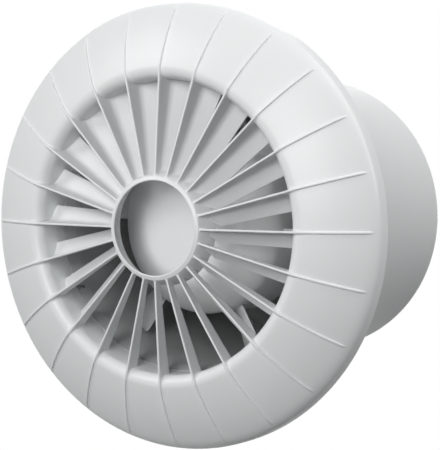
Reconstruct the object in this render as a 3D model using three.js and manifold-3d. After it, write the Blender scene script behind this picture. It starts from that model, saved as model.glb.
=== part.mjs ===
// Round duct exhaust fan: a domed fascia with radial guide vanes on a duct spigot, and an axial
// impeller on a ball-bearing motor inside. Millimetres, +Z up. The fan's axis is Y. The wall's
// face is the plane Y = 0: the room is on the -Y side and the duct runs towards +Y.
import * as THREE from 'three';
import { mergeVertices } from 'three/addons/utils/BufferGeometryUtils.js';
import Module from 'manifold-3d';

const wasm = await Module();
wasm.setup();
const { Manifold } = wasm;

// ---- Driving sizes ----
const GAP = 0.3;               // assembly gap between neighbouring pieces
const TURN_STEPS = 48;         // facets round the large turned pieces
const MOTOR_STEPS = 36;        // facets round the motor's pieces
const SMALL_STEPS = 12;        // facets round the small ones
const EMBED = 0.8;             // how far a moulded rib runs into the wall that carries it

// Spigot and flange of the housing
const SPIGOT_R = 62;           // outside, for a 125 mm duct
const SPIGOT_WALL = 2.5;
const SPIGOT_DEPTH = 114;      // end of the spigot behind the wall's face
const SPIGOT_CHAMFER = 1.4;    // lead-in at the spigot's end
const MOUTH_GROWTH = 1.6;      // the bore's flared mouth, wider than the bore
const MOUTH_DEPTH = 6;
const RIM_OVERLAP = 32;        // fascia's rim beyond the spigot
const RIM_R = SPIGOT_R + RIM_OVERLAP;
const FLANGE_IN = 6;           // flange's edge inside the rim
const FLANGE_R = RIM_R - FLANGE_IN;
const FLANGE_WALL = 2.5;
const GASKET_WALL = 1.8;
const GASKET_OFF = 1;          // gasket's bore outside the spigot
const GASKET_WIDTH = 6;
const WALL_HOLE_R = 2.5;       // holes for the installer's wall screws
const WALL_HOLE_IN = 5;        // their centres inside the flange's edge
const WALL_HOLES = 4;
const WALL_HOLE_TURN = 35;     // degrees, first hole

// Fascia
const RIM_SKIRT = 5.5;         // straight skirt at the rim
const RIM_FULLNESS = 0.34;     // how far in the rim's round edge aims under the shoulder
const RIM_DROP = 2.4;          // and how far below it
const FASCIA_WALL = 2;
const THROAT_STEP = 0.7;       // throat inside the spigot's outer face
const THROAT_R = SPIGOT_R - THROAT_STEP;
const LIP_R = 4.2;             // bull-nose between dome and throat
const LIP_HEIGHT = 22.6;       // top of the bull-nose over the wall's face
const LIP_SLOPE = 18;          // degrees the dome falls where it leaves the bull-nose
const SHOULDER_IN = 3.5;       // shoulder where the dome turns into the rim, in from the rim
const SHOULDER_HEIGHT = 10.6;
const DOME_KNEE = 0.57;        // share of the dome's run that keeps the lip's slope

// Guide vanes and the fin that each one runs out into over the dome
const VANES = 24;
const VANE_WALL = 1;
const VANE_LEAF_ROOT = 2.4;    // straight front leaf of a vane at the ring
const VANE_LEAF_TIP = 7;       // and at the throat
const VANE_BEND_R = 5;
const VANE_TILT = 4;           // degrees off the axis, front leaf
const VANE_TAIL_ROOT = 38;     // degrees off the axis, tail at the ring
const VANE_TAIL_TIP = 56;      // and at the throat
const VANE_SWEEP_ROOT = 5.4;   // sideways reach of the tail at the ring
const VANE_SWEEP_TIP = 7.2;    // and at the throat
const VANE_PROUD = 0.8;        // vane edge and fin over the dome
const FIN_WIDTH = 1.1;
const FIN_END_IN = 1.6;        // fin stops short of the rim by this much

// Centre ring
const RING_HEIGHT = 27.4;      // front edge over the wall's face
const RING_R = 20.5;           // outside at the front edge
const RING_WALL = 1;
const RING_DEPTH = 9.8;
const RING_FLARE = 3.7;        // growth in radius over its depth
const VANE_START_HEIGHT = 26.6;

// Clips that hold the fascia on the flange
const CLIPS = 4;
const CLIP_TURN = 20;          // degrees, first clip
const CLIP_OUT = 10.7;         // inner face of a clip's leg, outside the throat
const CLIP_R = THROAT_R + CLIP_OUT;
const CLIP_WALL = 1.8;
const CLIP_WIDTH = 10;
const CLIP_BARB = 1.2;
const NOTCH_ROOM = 1;          // cuts run past the walls that they open by this much

// Motor carrier inside the spigot
const STRUTS = 3;
const STRUT_WALL = 3;
const CUP_ROOM = 1.6;          // cup's bore outside the motor
const CUP_WALL = 2.2;
const CUP_START = 44;          // along the axis, behind the wall's face
const CUP_DEPTH = 24;
const BULKHEAD_WALL = 2.5;
const BULKHEAD_HOLE_R = 7;

// Motor
const MOTOR_R = 29.6;
const SHELL_WALL = 1.5;
const SHELL_DEPTH = 15;
const POST_WALL = 1.2;         // wall of a post round its tie screw
const CORE_START = 30.3;       // front face of the stator stack
const CORE_DEPTH = 16;
const STATOR_BORE_R = 14.4;
const SLOTS = 6;
const SLOT_WIDTH = 7;
const SLOT_SLACK = 0.5;        // winding leg inside its slot
const COIL_INNER_R = 17;
const COIL_DEPTH = 5.5;        // winding head over the stack
const FORMER_WALL = 1;
const FORMER_IN = 1;           // former's bore inside the coil
const ROTOR_R = 14;
const ROTOR_OVERHANG = 1.3;    // end rings past the stack
const SHAFT_R = 3;
const SHAFT_START = 4;
const SHAFT_LENGTH = 57;
const BEARING_R = 9.5;
const BEARING_WIDTH = 6;
const SPACER_WALL = 2;
const TIE_PITCH_R = 26.6;
const TIE_R = 1.4;
const TIE_HEAD_R = 2.4;
const TIE_HEAD = 1.6;
const TIES = 3;
const MOUNTS = 3;              // rubber bushes and their screws
const MOUNT_PITCH_R = 18;
const BUSH_R = 5;
const BUSH_DEPTH = 4;
const MOUNT_SCREW_R = 1.7;
const MOUNT_HEAD_R = 3.4;
const MOUNT_HEAD = 2.2;
const SHANK_OVERLAP = 0.5;     // screw shanks run into their heads
const MOUNT_SCREW_REACH = 7;

// Impeller
const HUB_FACE_R = 21;         // flat of the nose
const HUB_R = 38.4;            // behind the nose's round edge
const HUB_NOSE = 12;           // depth of that round edge
const HUB_FULLNESS = 4;        // how far inside the hub's radius the nose's curve aims
const HUB_TAIL_R = 38.9;
const HUB_DEPTH = 38;
const HUB_WALL = 2;
const BOSS_R = 6.5;
const BOSS_DEPTH = 13;
const BOSS_END = 1;            // boss beyond its spring ring
const SPRING_RING_WALL = 1.2;
const SPRING_RING_WIDTH = 3;
const BLADES = 6;
const BLADE_TURN = 41;         // degrees, first blade
const TIP_GAP = 1.2;           // blade tip to the spigot's bore
const BLADE_WALL = 1.6;
const BLADE_MIDDLE = 23;       // middle of a blade along the axis
const BLADE_CHORD_ROOT = 23;
const BLADE_CHORD_TIP = 28;
const BLADE_PITCH_ROOT = 57;   // degrees out of the plane of rotation
const BLADE_PITCH_TIP = 44;
const BLADE_CAMBER = 0.09;     // of the chord
const BLADE_ROUNDING = 0.3;    // share of the tip's chord that its round corners take
const BLADE_CORNER = 8;        // power by which they set in towards the tip

// Mains connection on the flange, under the fascia
const TERMINAL_TURN = 240;     // degrees clockwise from the top, seen from the room
const TERMINAL_OUT = 13.2;     // middle of the terminals outside the throat
const TERMINAL_R = THROAT_R + TERMINAL_OUT;
const TERMINAL_WIDTH = 18;
const TERMINAL_LENGTH = 10;
const TERMINAL_HEIGHT = 7;
const TERMINAL_SCREW_R = 1.7;
const TERMINAL_PITCH = 8;
const TERMINAL_SINK = 0.6;     // screw below the block's face
const TERMINAL_SCREW = 3;      // and its length
const TERMINAL_POCKET = 4;
const COVER_WALL = 1.2;
const COVER_EAR = 6;
const COVER_SCREW_R = 1.3;
const COVER_HEAD_R = 2.3;
const CLAMP_TURN = 259;
const CLAMP_OUT = 11.7;        // middle of the clamp outside the throat
const CLAMP_R = THROAT_R + CLAMP_OUT;
const CLAMP_LENGTH = 18;
const CLAMP_WIDTH = 5;
const CLAMP_WALL = 2.5;
const CLAMP_PITCH = 12;
const CLAMP_SCREW_R = 1.4;
const CLAMP_HEAD_R = 2.4;
const CLAMP_HEAD = 1.5;
const CABLE_PAD = 1.5;         // pad on the flange that the cable is pressed on
const GROMMET_TURN = 275;
const GROMMET_IN = 11;         // its centre inside the flange's edge
const GROMMET_R = 6;
const GROMMET_BORE_R = 3.5;
const GROMMET_LIP = 1.2;       // thickness of its head
const GROMMET_HEAD = 1.5;      // its head beyond the hole

// Lead from the terminals to the motor, in a groove of the spigot and along a strut
const LEAD_R = 0.8;
const LEAD_BEND_R = 3;
const LEAD_SIDES = 6;
const LEAD_STEPS = 36;

// Back-draught shutter: two half-round flaps on one upright pin near the spigot's end
const PIN_INSIDE = 13;         // pin's axis in front of the spigot's end
const PIN_R = 1.5;
const PIN_SHORT = 0.4;         // pin's ends inside the spigot's outer face
const PIN_BOSS_WALL = 1.4;     // bosses of the spigot that hold the pin
const KNUCKLE_WALL = 1.1;      // knuckles of the flaps round the pin
const KNUCKLES = 3;            // of both flaps together, on each half of the pin
const KNUCKLE_IN = 4.5;        // outermost knuckle's end inside the spigot's bore
const SPRING_ROOM = 11;        // room for the springs between the innermost knuckles
const SPRING_WALL = 0.8;       // thickness of a spring's coil
const FLAP_WALL = 1;
const FLAP_OFF = 1;            // flap's rear face in front of the pin's axis
const FLAP_PLAY = 1.2;         // flap's round edge to the spigot's bore
const SEAT_WIDTH = 2.5;        // ledge that the shut flaps lie on
const SEAT_WALL = 1.5;

// ---- Derived places ----
const FLANGE_BACK = -GASKET_WALL - GAP;
const FLANGE_FRONT = FLANGE_BACK - FLANGE_WALL;
const BORE_R = SPIGOT_R - SPIGOT_WALL;
const THROAT_END = -FLANGE_FRONT + GAP;
const CUP_R = MOTOR_R + CUP_ROOM + CUP_WALL;
const CUP_BACK = CUP_START + CUP_DEPTH;
const COIL_OUTER_R = TIE_PITCH_R - TIE_R - POST_WALL - 2 * GAP;  // clear of the posts
const CORE_BACK = CORE_START + CORE_DEPTH;
const FRONT_SHELL_FACE = CORE_START - GAP - SHELL_DEPTH;
const REAR_SHELL_FACE = CORE_BACK + GAP + SHELL_DEPTH;
const TIP_R = BORE_R - TIP_GAP;
const GASKET_INNER_R = SPIGOT_R + GASKET_OFF;
const GROMMET_R_AT = FLANGE_R - GROMMET_IN;
const SIDES = [-1, 1];
const PIN_BORE_R = PIN_R + GAP;
const PIN_BOSS_R = PIN_BORE_R + PIN_BOSS_WALL;
const KNUCKLE_R = PIN_BORE_R + KNUCKLE_WALL;
const PIN_AT = SPIGOT_DEPTH - PIN_INSIDE;
const KNUCKLE_END = BORE_R - KNUCKLE_IN;
const FLAP_BACK = PIN_AT - FLAP_OFF;
const SEAT_FACE = FLAP_BACK - FLAP_WALL - GAP;
const SEAT_R = BORE_R - SEAT_WIDTH;
const rad = THREE.MathUtils.degToRad;
const mix = THREE.MathUtils.lerp;

// ---- Finishes ----
function finish(color, roughness, metalness = 0) {
  return new THREE.MeshStandardMaterial({ color, roughness, metalness });
}
const whitePlastic = finish(0xe4e7e7, 0.32);
const housingPlastic = finish(0xdfe2e2, 0.36);
const impellerPlastic = finish(0xe2e5e5, 0.3);
const steel = finish(0xb4b8bb, 0.35, 1);
const stackSteel = finish(0x6c7074, 0.5, 0.9);
const castAlloy = finish(0xa9adb0, 0.45, 0.9);
const copper = finish(0xb26a3c, 0.4, 0.8);
const formerPlastic = finish(0x2e3a34, 0.6);
const rubberBlack = finish(0x202224, 0.85);
const foamGrey = finish(0x55585a, 0.95);
const terminalPlastic = finish(0xd9d5c6, 0.5);
const leadSheath = finish(0x8c9094, 0.6);

// ---- Geometry helpers ----
function flatCopy(geometry) {
  const plain = geometry.clone();
  plain.deleteAttribute('normal');
  plain.deleteAttribute('uv');
  return mergeVertices(plain, 1e-4);
}

// A closed three.js geometry as a solid, with its faces turned outwards.
function solid(geometry) {
  const merged = flatCopy(geometry);
  const at = merged.attributes.position.array;
  const index = merged.index.array;
  const faces = [];
  let volume = 0;
  for (let i = 0; i < index.length; i += 3) {
    const [a, b, c] = [index[i], index[i + 1], index[i + 2]];
    if (a === b || b === c || c === a) continue;
    faces.push([a, b, c]);
    const p = [a, b, c].map((v) => new THREE.Vector3().fromArray(at, v * 3));
    volume += p[0].dot(p[1].cross(p[2])) / 6;
  }
  const turned = volume < 0 ? faces.map(([a, b, c]) => [a, c, b]) : faces;
  return new Manifold(new wasm.Mesh({
    numProp: 3,
    vertProperties: new Float32Array(at),
    triVerts: new Uint32Array(turned.flat()),
  }));
}

function geometryOf(body) {
  const mesh = body.getMesh();
  const geometry = new THREE.BufferGeometry();
  geometry.setAttribute('position', new THREE.BufferAttribute(new Float32Array(mesh.vertProperties), 3));
  geometry.setIndex(new THREE.BufferAttribute(new Uint32Array(mesh.triVerts), 1));
  geometry.computeVertexNormals();
  return geometry;
}

// A profile of [radius, y] points turned about the fan's axis. It closes on itself.
function turn(profile, steps = TURN_STEPS) {
  const points = [...profile, profile[0]].map(([r, y]) => new THREE.Vector2(r, y));
  return solid(new THREE.LatheGeometry(points, steps));
}

function tube(innerR, outerR, start, end, steps = TURN_STEPS) {
  return turn([[innerR, start], [outerR, start], [outerR, end], [innerR, end]], steps);
}

// A box given by its extent along the radius, along the axis and across the radius, at one angle.
function radialBox(r0, r1, y0, y1, width, degrees = 0, shift = 0) {
  const box = new THREE.BoxGeometry(width, y1 - y0, r1 - r0);
  box.translate(shift, (y0 + y1) / 2, (r0 + r1) / 2);
  return solid(box.rotateY(rad(degrees)));
}

// A rod along the axis, standing at a radius, an angle and a sideways shift.
function rod(radius, y0, y1, pitchR = 0, degrees = 0, shift = 0, steps = SMALL_STEPS) {
  const cylinder = new THREE.CylinderGeometry(radius, radius, y1 - y0, steps);
  cylinder.translate(shift, (y0 + y1) / 2, pitchR);
  return solid(cylinder.rotateY(rad(degrees)));
}

// A rod along the shutter's upright pin.
function pinRod(radius, z0, z1) {
  const cylinder = new THREE.CylinderGeometry(radius, radius, z1 - z0, SMALL_STEPS);
  cylinder.rotateX(Math.PI / 2);
  cylinder.translate(0, PIN_AT, (z0 + z1) / 2);
  return solid(cylinder);
}

// Rings of points, joined ring to ring and closed at both ends.
function loft(rings) {
  const count = rings[0].length;
  const at = rings.flat().flatMap((p) => [p.x, p.y, p.z]);
  const index = [];
  for (let k = 0; k + 1 < rings.length; k += 1) {
    for (let i = 0; i < count; i += 1) {
      const j = (i + 1) % count;
      const [a, b, c, d] = [k * count + i, k * count + j, (k + 1) * count + j, (k + 1) * count + i];
      index.push(a, b, c, a, c, d);
    }
  }
  // Each end is a strip between the section's two faces, which holds for a bent section too.
  const last = (rings.length - 1) * count;
  for (let i = 0; i + 1 < count / 2; i += 1) {
    const [a, b, c, d] = [i, i + 1, count - 2 - i, count - 1 - i];
    index.push(a, c, b, a, d, c, last + a, last + b, last + c, last + a, last + c, last + d);
  }
  const geometry = new THREE.BufferGeometry();
  geometry.setAttribute('position', new THREE.Float32BufferAttribute(at, 3));
  geometry.setIndex(index);
  return solid(geometry);
}

function join(solids) {
  return solids.reduce((whole, next) => whole.add(next));
}

function cut(body, ...tools) {
  return tools.reduce((rest, tool) => rest.subtract(tool), body);
}

function around(count, make, first = 0) {
  return Array.from({ length: count }, (_, k) => make(first + (k * 360) / count, k));
}

// Points offset sideways from a line of [x, y] points, by a distance to its left.
function offset(line, distance) {
  return line.map(([x, y], i) => {
    const [x0, y0] = line[Math.max(i - 1, 0)];
    const [x1, y1] = line[Math.min(i + 1, line.length - 1)];
    const length = Math.hypot(x1 - x0, y1 - y0);
    return [x - (distance * (y1 - y0)) / length, y + (distance * (x1 - x0)) / length];
  });
}

function samples(curve, steps) {
  return curve.getPoints(steps).map((p) => [p.x, p.y]);
}

// ---- The assembly ----
const fan = new THREE.Group();
const staticParts = new THREE.Group();
const rotatingParts = new THREE.Group();
const leftFlapParts = new THREE.Group();
const rightFlapParts = new THREE.Group();
fan.add(staticParts, rotatingParts, leftFlapParts, rightFlapParts);

function addPiece(name, body, material, group = staticParts, y = 0) {
  const mesh = new THREE.Mesh(geometryOf(body.translate([0, -y, 0])), material);
  mesh.name = name;
  mesh.position.y = y;
  group.add(mesh);
}

// ---- Front fascia with its guide vanes and centre ring ----
// Heights here are measured towards the room, so Y is minus the height.
const lipCentre = [THROAT_R + LIP_R, LIP_HEIGHT - LIP_R];
const domeStart = [
  lipCentre[0] + LIP_R * Math.sin(rad(LIP_SLOPE)),
  lipCentre[1] + LIP_R * Math.cos(rad(LIP_SLOPE)),
];
const shoulder = [RIM_R - SHOULDER_IN, SHOULDER_HEIGHT];
const domeRun = (shoulder[0] - domeStart[0]) * DOME_KNEE;
const domeControl = [domeStart[0] + domeRun, domeStart[1] - domeRun * Math.tan(rad(LIP_SLOPE))];
const rimControl = [RIM_R - RIM_FULLNESS, SHOULDER_HEIGHT - RIM_DROP];
const vec = ([x, y]) => new THREE.Vector2(x, y);
const domeCurve = new THREE.QuadraticBezierCurve(vec(domeStart), vec(domeControl), vec(shoulder));
const rimCurve = new THREE.QuadraticBezierCurve(
  vec(shoulder), vec(rimControl), new THREE.Vector2(RIM_R, RIM_SKIRT));
const lipCurve = new THREE.EllipseCurve(
  ...lipCentre, LIP_R, LIP_R, Math.PI, Math.PI / 2 - rad(LIP_SLOPE), true);

// The fascia's section from the throat over the lip and the dome to the rim.
function fasciaLine(lipSteps, domeSteps, rimSteps) {
  return [
    [THROAT_R, THROAT_END],
    ...samples(lipCurve, lipSteps),
    ...samples(domeCurve, domeSteps).slice(1),
    ...samples(rimCurve, rimSteps).slice(1),
    [RIM_R, 0],
  ];
}

const fasciaInside = offset(fasciaLine(2, 2, 1), -FASCIA_WALL);
fasciaInside[0][1] = THROAT_END;
fasciaInside[fasciaInside.length - 1][1] = 0;
const upright = (line) => line.map(([r, h]) => [r, -h]);
const shell = turn(upright([...fasciaLine(4, 3, 2), ...fasciaInside.reverse()]));

const ringOuterAt = (depth) => RING_R + RING_FLARE * Math.sqrt(Math.max(depth, 0) / RING_DEPTH);
const ringDepths = [0.4, 1.5, 4.5, RING_DEPTH];
const ring = turn(upright([
  [RING_R - RING_WALL / 2, RING_HEIGHT],
  ...ringDepths.map((d) => [ringOuterAt(d), RING_HEIGHT - d]),
  ...ringDepths.slice(2).reverse().map((d) => [ringOuterAt(d) - RING_WALL, RING_HEIGHT - d]),
  [RING_R - RING_WALL, RING_HEIGHT - ringDepths[0]],
]));

// Section of a vane: [depth behind its front edge, sideways reach] down its middle.
function vaneMiddle(t) {
  const leaf = mix(VANE_LEAF_ROOT, VANE_LEAF_TIP, t);
  const tilt = rad(VANE_TILT);
  const tail = rad(mix(VANE_TAIL_ROOT, VANE_TAIL_TIP, t));
  const sweep = mix(VANE_SWEEP_ROOT, VANE_SWEEP_TIP, t);
  const line = [[0, 0], [leaf, leaf * Math.tan(tilt)]];
  const [s0, c0] = line[1];
  for (const part of [1 / 3, 2 / 3, 1]) {
    const angle = mix(tilt, tail, part);
    line.push([
      s0 + VANE_BEND_R * (Math.sin(angle) - Math.sin(tilt)),
      c0 + VANE_BEND_R * (Math.cos(tilt) - Math.cos(angle)),
    ]);
  }
  const [s1, c1] = line[line.length - 1];
  line.push([s1 + (sweep - c1) / Math.tan(tail), sweep]);
  return line;
}

const vaneFrontAt = (t) => mix(VANE_START_HEIGHT, LIP_HEIGHT + VANE_PROUD, t);

function vaneRing(t, degrees) {
  const middle = vaneMiddle(t);
  const sides = [...offset(middle, VANE_WALL / 2), ...offset(middle, -VANE_WALL / 2).reverse()];
  return sides.map(([depth, across]) => {
    const height = vaneFrontAt(t) - depth;
    const rootR = ringOuterAt(RING_HEIGHT - height) - EMBED;
    const radius = mix(rootR, THROAT_R + EMBED, t);
    const along = Math.sqrt(radius * radius - across * across);
    return new THREE.Vector3(across, -height, along).applyAxisAngle(
      new THREE.Vector3(0, 1, 0), rad(degrees));
  });
}

const vanes = around(VANES, (a) => loft([0, 1].map((t) => vaneRing(t, a))));

// A fin follows the dome from the vane's outer end to just short of the rim.
const finLine = [
  [THROAT_R + EMBED / 2, LIP_HEIGHT - EMBED],
  ...samples(lipCurve, 4).slice(3),
  ...samples(domeCurve, 3).slice(1),
];
const finEnd = rimCurve.getPoint(1 - FIN_END_IN / SHOULDER_IN);
const finTop = offset(finLine, VANE_PROUD);
finTop[0] = [THROAT_R, vaneFrontAt(1)];
finTop[1][1] = vaneFrontAt(1);
const finOutline = [...finTop, [finEnd.x, finEnd.y], ...offset(finLine, -EMBED).reverse()];

function fin(degrees) {
  const shape = new THREE.Shape(finOutline.map(([r, h]) => new THREE.Vector2(r, -h)));
  const blade = new THREE.ExtrudeGeometry(shape, { depth: FIN_WIDTH, bevelEnabled: false });
  blade.translate(0, 0, -FIN_WIDTH / 2);
  return solid(blade.rotateY(-Math.PI / 2 + rad(degrees)));
}

// A clip leg hangs from the inside of the dome, goes through the flange and hooks behind it.
function clip(degrees) {
  const tipY = FLANGE_BACK + GAP + CLIP_BARB;
  const leg = radialBox(CLIP_R, CLIP_R + CLIP_WALL, -LIP_HEIGHT + FASCIA_WALL * 2, tipY, CLIP_WIDTH, degrees);
  const barb = radialBox(CLIP_R + CLIP_WALL - GAP, CLIP_R + CLIP_WALL + CLIP_BARB, FLANGE_BACK + GAP, tipY,
    CLIP_WIDTH, degrees);
  return leg.add(barb);
}

// The lead to the motor leaves the terminals under a small notch in the end of the throat.
const leadShift = STRUT_WALL / 2 + LEAD_R + GAP;
const leadRoom = 2 * (LEAD_R + GAP);
const leadNotch = radialBox(
  THROAT_R - NOTCH_ROOM, THROAT_R + FASCIA_WALL + NOTCH_ROOM,
  -THROAT_END - leadRoom, NOTCH_ROOM - THROAT_END, leadRoom, TERMINAL_TURN, leadShift);

const clipTurns = around(CLIPS, (a) => a, CLIP_TURN);
addPiece('front_grille', cut(
  join([shell, ring, ...vanes, ...around(VANES, fin), ...clipTurns.map(clip)]),
  leadNotch,
), whitePlastic);

// ---- Housing: flange, spigot, struts and motor cup in one moulding ----
const spigot = turn([
  [BORE_R + MOUTH_GROWTH, FLANGE_FRONT],
  [FLANGE_R, FLANGE_FRONT],
  [FLANGE_R, FLANGE_BACK],
  [SPIGOT_R, FLANGE_BACK],
  [SPIGOT_R, SPIGOT_DEPTH - SPIGOT_CHAMFER],
  [SPIGOT_R - SPIGOT_CHAMFER, SPIGOT_DEPTH],
  [BORE_R, SPIGOT_DEPTH],
  [BORE_R, SEAT_FACE],
  [SEAT_R, SEAT_FACE],
  [SEAT_R, SEAT_FACE - SEAT_WALL],
  [BORE_R, SEAT_FACE - SEAT_WALL - SEAT_WIDTH],
  [BORE_R, FLANGE_FRONT + MOUTH_DEPTH],
]);
const bossStart = KNUCKLE_END + GAP;
const pinBosses = [
  pinRod(PIN_BOSS_R, bossStart, BORE_R + EMBED),
  pinRod(PIN_BOSS_R, -BORE_R - EMBED, -bossStart),
];
const pinEnd = SPIGOT_R - PIN_SHORT;
const pinBore = pinRod(PIN_BORE_R, -SPIGOT_R - NOTCH_ROOM, SPIGOT_R + NOTCH_ROOM);
const cup = turn([
  [BULKHEAD_HOLE_R, CUP_BACK - BULKHEAD_WALL],
  [CUP_R - CUP_WALL, CUP_BACK - BULKHEAD_WALL],
  [CUP_R - CUP_WALL, CUP_START],
  [CUP_R, CUP_START],
  [CUP_R, CUP_BACK],
  [BULKHEAD_HOLE_R, CUP_BACK],
]);
const strutTurn = TERMINAL_TURN;
const struts = around(STRUTS, (a) => radialBox(
  CUP_R - EMBED, BORE_R + EMBED, CUP_START + GAP, CUP_BACK - GAP, STRUT_WALL, a), strutTurn);

const throughFlange = [FLANGE_FRONT - NOTCH_ROOM, FLANGE_BACK + NOTCH_ROOM];
const clipSlots = clipTurns.map((a) => radialBox(
  CLIP_R - GAP, CLIP_R + CLIP_WALL + CLIP_BARB + GAP, ...throughFlange,
  CLIP_WIDTH + 2 * GAP, a));
const wallHoles = around(WALL_HOLES, (a) => rod(
  WALL_HOLE_R, ...throughFlange, FLANGE_R - WALL_HOLE_IN, a), WALL_HOLE_TURN);
const mountTurns = around(MOUNTS, (a) => a, strutTurn + 180 / MOUNTS);
const mountHoles = mountTurns.map((a) => rod(
  MOUNT_SCREW_R + GAP, CUP_BACK - BULKHEAD_WALL - NOTCH_ROOM, CUP_BACK + NOTCH_ROOM, MOUNT_PITCH_R, a));

// Groove for the lead down the spigot, with a window where it turns in beside the strut.
const leadOutR = SPIGOT_R - LEAD_R;
const leadTurnY = CUP_START + CUP_DEPTH / 3;
const leadGroove = radialBox(
  leadOutR - LEAD_R - GAP, SPIGOT_R + NOTCH_ROOM, FLANGE_FRONT - NOTCH_ROOM, leadTurnY + LEAD_R + GAP,
  leadRoom, TERMINAL_TURN, leadShift);
const leadWindow = radialBox(
  CUP_R - CUP_WALL - NOTCH_ROOM, SPIGOT_R + NOTCH_ROOM, leadTurnY - LEAD_BEND_R - LEAD_R,
  leadTurnY + LEAD_R + GAP, leadRoom, TERMINAL_TURN, leadShift);

// Pads that the terminal block, its cover's ear and the cable clamp are screwed on
const coverEarShift = (TERMINAL_WIDTH + COVER_EAR) / 2 + COVER_WALL + GAP;
const cableFace = FLANGE_FRONT - CABLE_PAD;
const clampPad = radialBox(CLAMP_R - CLAMP_WIDTH / 2, CLAMP_R + CLAMP_WIDTH / 2, cableFace,
  FLANGE_FRONT + EMBED, CLAMP_LENGTH, CLAMP_TURN);
const pilotHoles = [
  rod(COVER_SCREW_R + GAP, ...throughFlange, TERMINAL_R, TERMINAL_TURN, -coverEarShift),
  ...SIDES.map((side) => rod(CLAMP_SCREW_R + GAP, cableFace - NOTCH_ROOM, FLANGE_BACK + NOTCH_ROOM,
    CLAMP_R, CLAMP_TURN, (side * CLAMP_PITCH) / 2)),
  rod(GROMMET_R + GAP, ...throughFlange, GROMMET_R_AT, GROMMET_TURN),
];
addPiece('duct_housing', cut(
  join([spigot, cup, ...struts, clampPad, ...pinBosses]),
  ...clipSlots, ...wallHoles, ...mountHoles, leadGroove, leadWindow, ...pilotHoles, pinBore,
), housingPlastic);

// ---- Foam gasket between flange and wall ----
addPiece('wall_gasket', tube(
  GASKET_INNER_R, GASKET_INNER_R + GASKET_WIDTH, -GASKET_WALL, 0), foamGrey);

// ---- Impeller ----
const noseCurve = new THREE.QuadraticBezierCurve(
  vec([HUB_FACE_R, 0]), vec([HUB_R - HUB_FULLNESS, 0]), vec([HUB_R, HUB_NOSE]));
const hubFace = [...samples(noseCurve, 5), [HUB_TAIL_R, HUB_DEPTH]];
const hubInside = offset(hubFace, HUB_WALL);
hubInside[0] = [HUB_FACE_R, HUB_WALL];
hubInside[hubInside.length - 1][1] = HUB_DEPTH;
const hub = turn([[0, 0], ...hubFace, ...hubInside.reverse(), [0, HUB_WALL]]);
const boss = rod(BOSS_R, HUB_WALL - GAP, BOSS_DEPTH);
const bossBore = rod(SHAFT_R + GAP, SHAFT_START - GAP, BOSS_DEPTH + NOTCH_ROOM);

function bladeRing(t, degrees) {
  const radius = mix(HUB_R - EMBED, TIP_R, t);
  const chord = mix(BLADE_CHORD_ROOT, BLADE_CHORD_TIP, t) * (1 - BLADE_ROUNDING * t ** BLADE_CORNER);
  const pitch = rad(mix(BLADE_PITCH_ROOT, BLADE_PITCH_TIP, t));
  const middle = [-0.5, -0.25, 0, 0.25, 0.5].map((u) => {
    const [along, lift] = [chord * u, chord * BLADE_CAMBER * (1 - 4 * u * u)];
    return [
      along * Math.sin(pitch) - lift * Math.cos(pitch),
      along * Math.cos(pitch) + lift * Math.sin(pitch),
    ];
  });
  const sides = [...offset(middle, BLADE_WALL / 2), ...offset(middle, -BLADE_WALL / 2).reverse()];
  return sides.map(([y, across]) => new THREE.Vector3(0, BLADE_MIDDLE + y, radius).applyAxisAngle(
    new THREE.Vector3(0, 1, 0), rad(degrees) + across / radius));
}

const blades = around(BLADES, (a) => loft([0, 0.4, 0.75, 0.9, 1].map((t) => bladeRing(t, a))), BLADE_TURN);
addPiece('impeller', cut(join([hub, boss, ...blades]), bossBore), impellerPlastic, rotatingParts);
const ringStart = BOSS_DEPTH - SPRING_RING_WIDTH - BOSS_END;
addPiece('boss_spring_ring', tube(BOSS_R + GAP, BOSS_R + GAP + SPRING_RING_WALL, ringStart,
  ringStart + SPRING_RING_WIDTH, SMALL_STEPS), steel, rotatingParts, ringStart);

// ---- Shaft, rotor and spacers ----
addPiece('motor_shaft', rod(SHAFT_R, SHAFT_START, SHAFT_START + SHAFT_LENGTH), steel,
  rotatingParts, SHAFT_START);
const rotorStart = CORE_START - ROTOR_OVERHANG;
const rotorBack = CORE_BACK + ROTOR_OVERHANG;
addPiece('rotor', tube(SHAFT_R + GAP, ROTOR_R, rotorStart, rotorBack, MOTOR_STEPS), stackSteel,
  rotatingParts, rotorStart);

const frontBearingY = FRONT_SHELL_FACE + SHELL_WALL + GAP;
const rearBearingY = REAR_SHELL_FACE - SHELL_WALL - GAP - BEARING_WIDTH;
const spacerR = SHAFT_R + GAP + SPACER_WALL;
const frontSpacerY = frontBearingY + BEARING_WIDTH + GAP;
addPiece('front_spacer', tube(SHAFT_R + GAP, spacerR, frontSpacerY, rotorStart - GAP, SMALL_STEPS), steel,
  rotatingParts, frontSpacerY);
addPiece('rear_spacer', tube(SHAFT_R + GAP, spacerR, rotorBack + GAP, rearBearingY - GAP, SMALL_STEPS), steel,
  rotatingParts, rotorBack + GAP);

// ---- Bearings ----
for (const [name, y] of [['front_bearing', frontBearingY], ['rear_bearing', rearBearingY]]) {
  addPiece(name, tube(SHAFT_R + GAP, BEARING_R, y, y + BEARING_WIDTH, MOTOR_STEPS), steel, staticParts, y);
}

// ---- Motor shells ----
const tieTurns = around(TIES, (a) => a, strutTurn);

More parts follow.
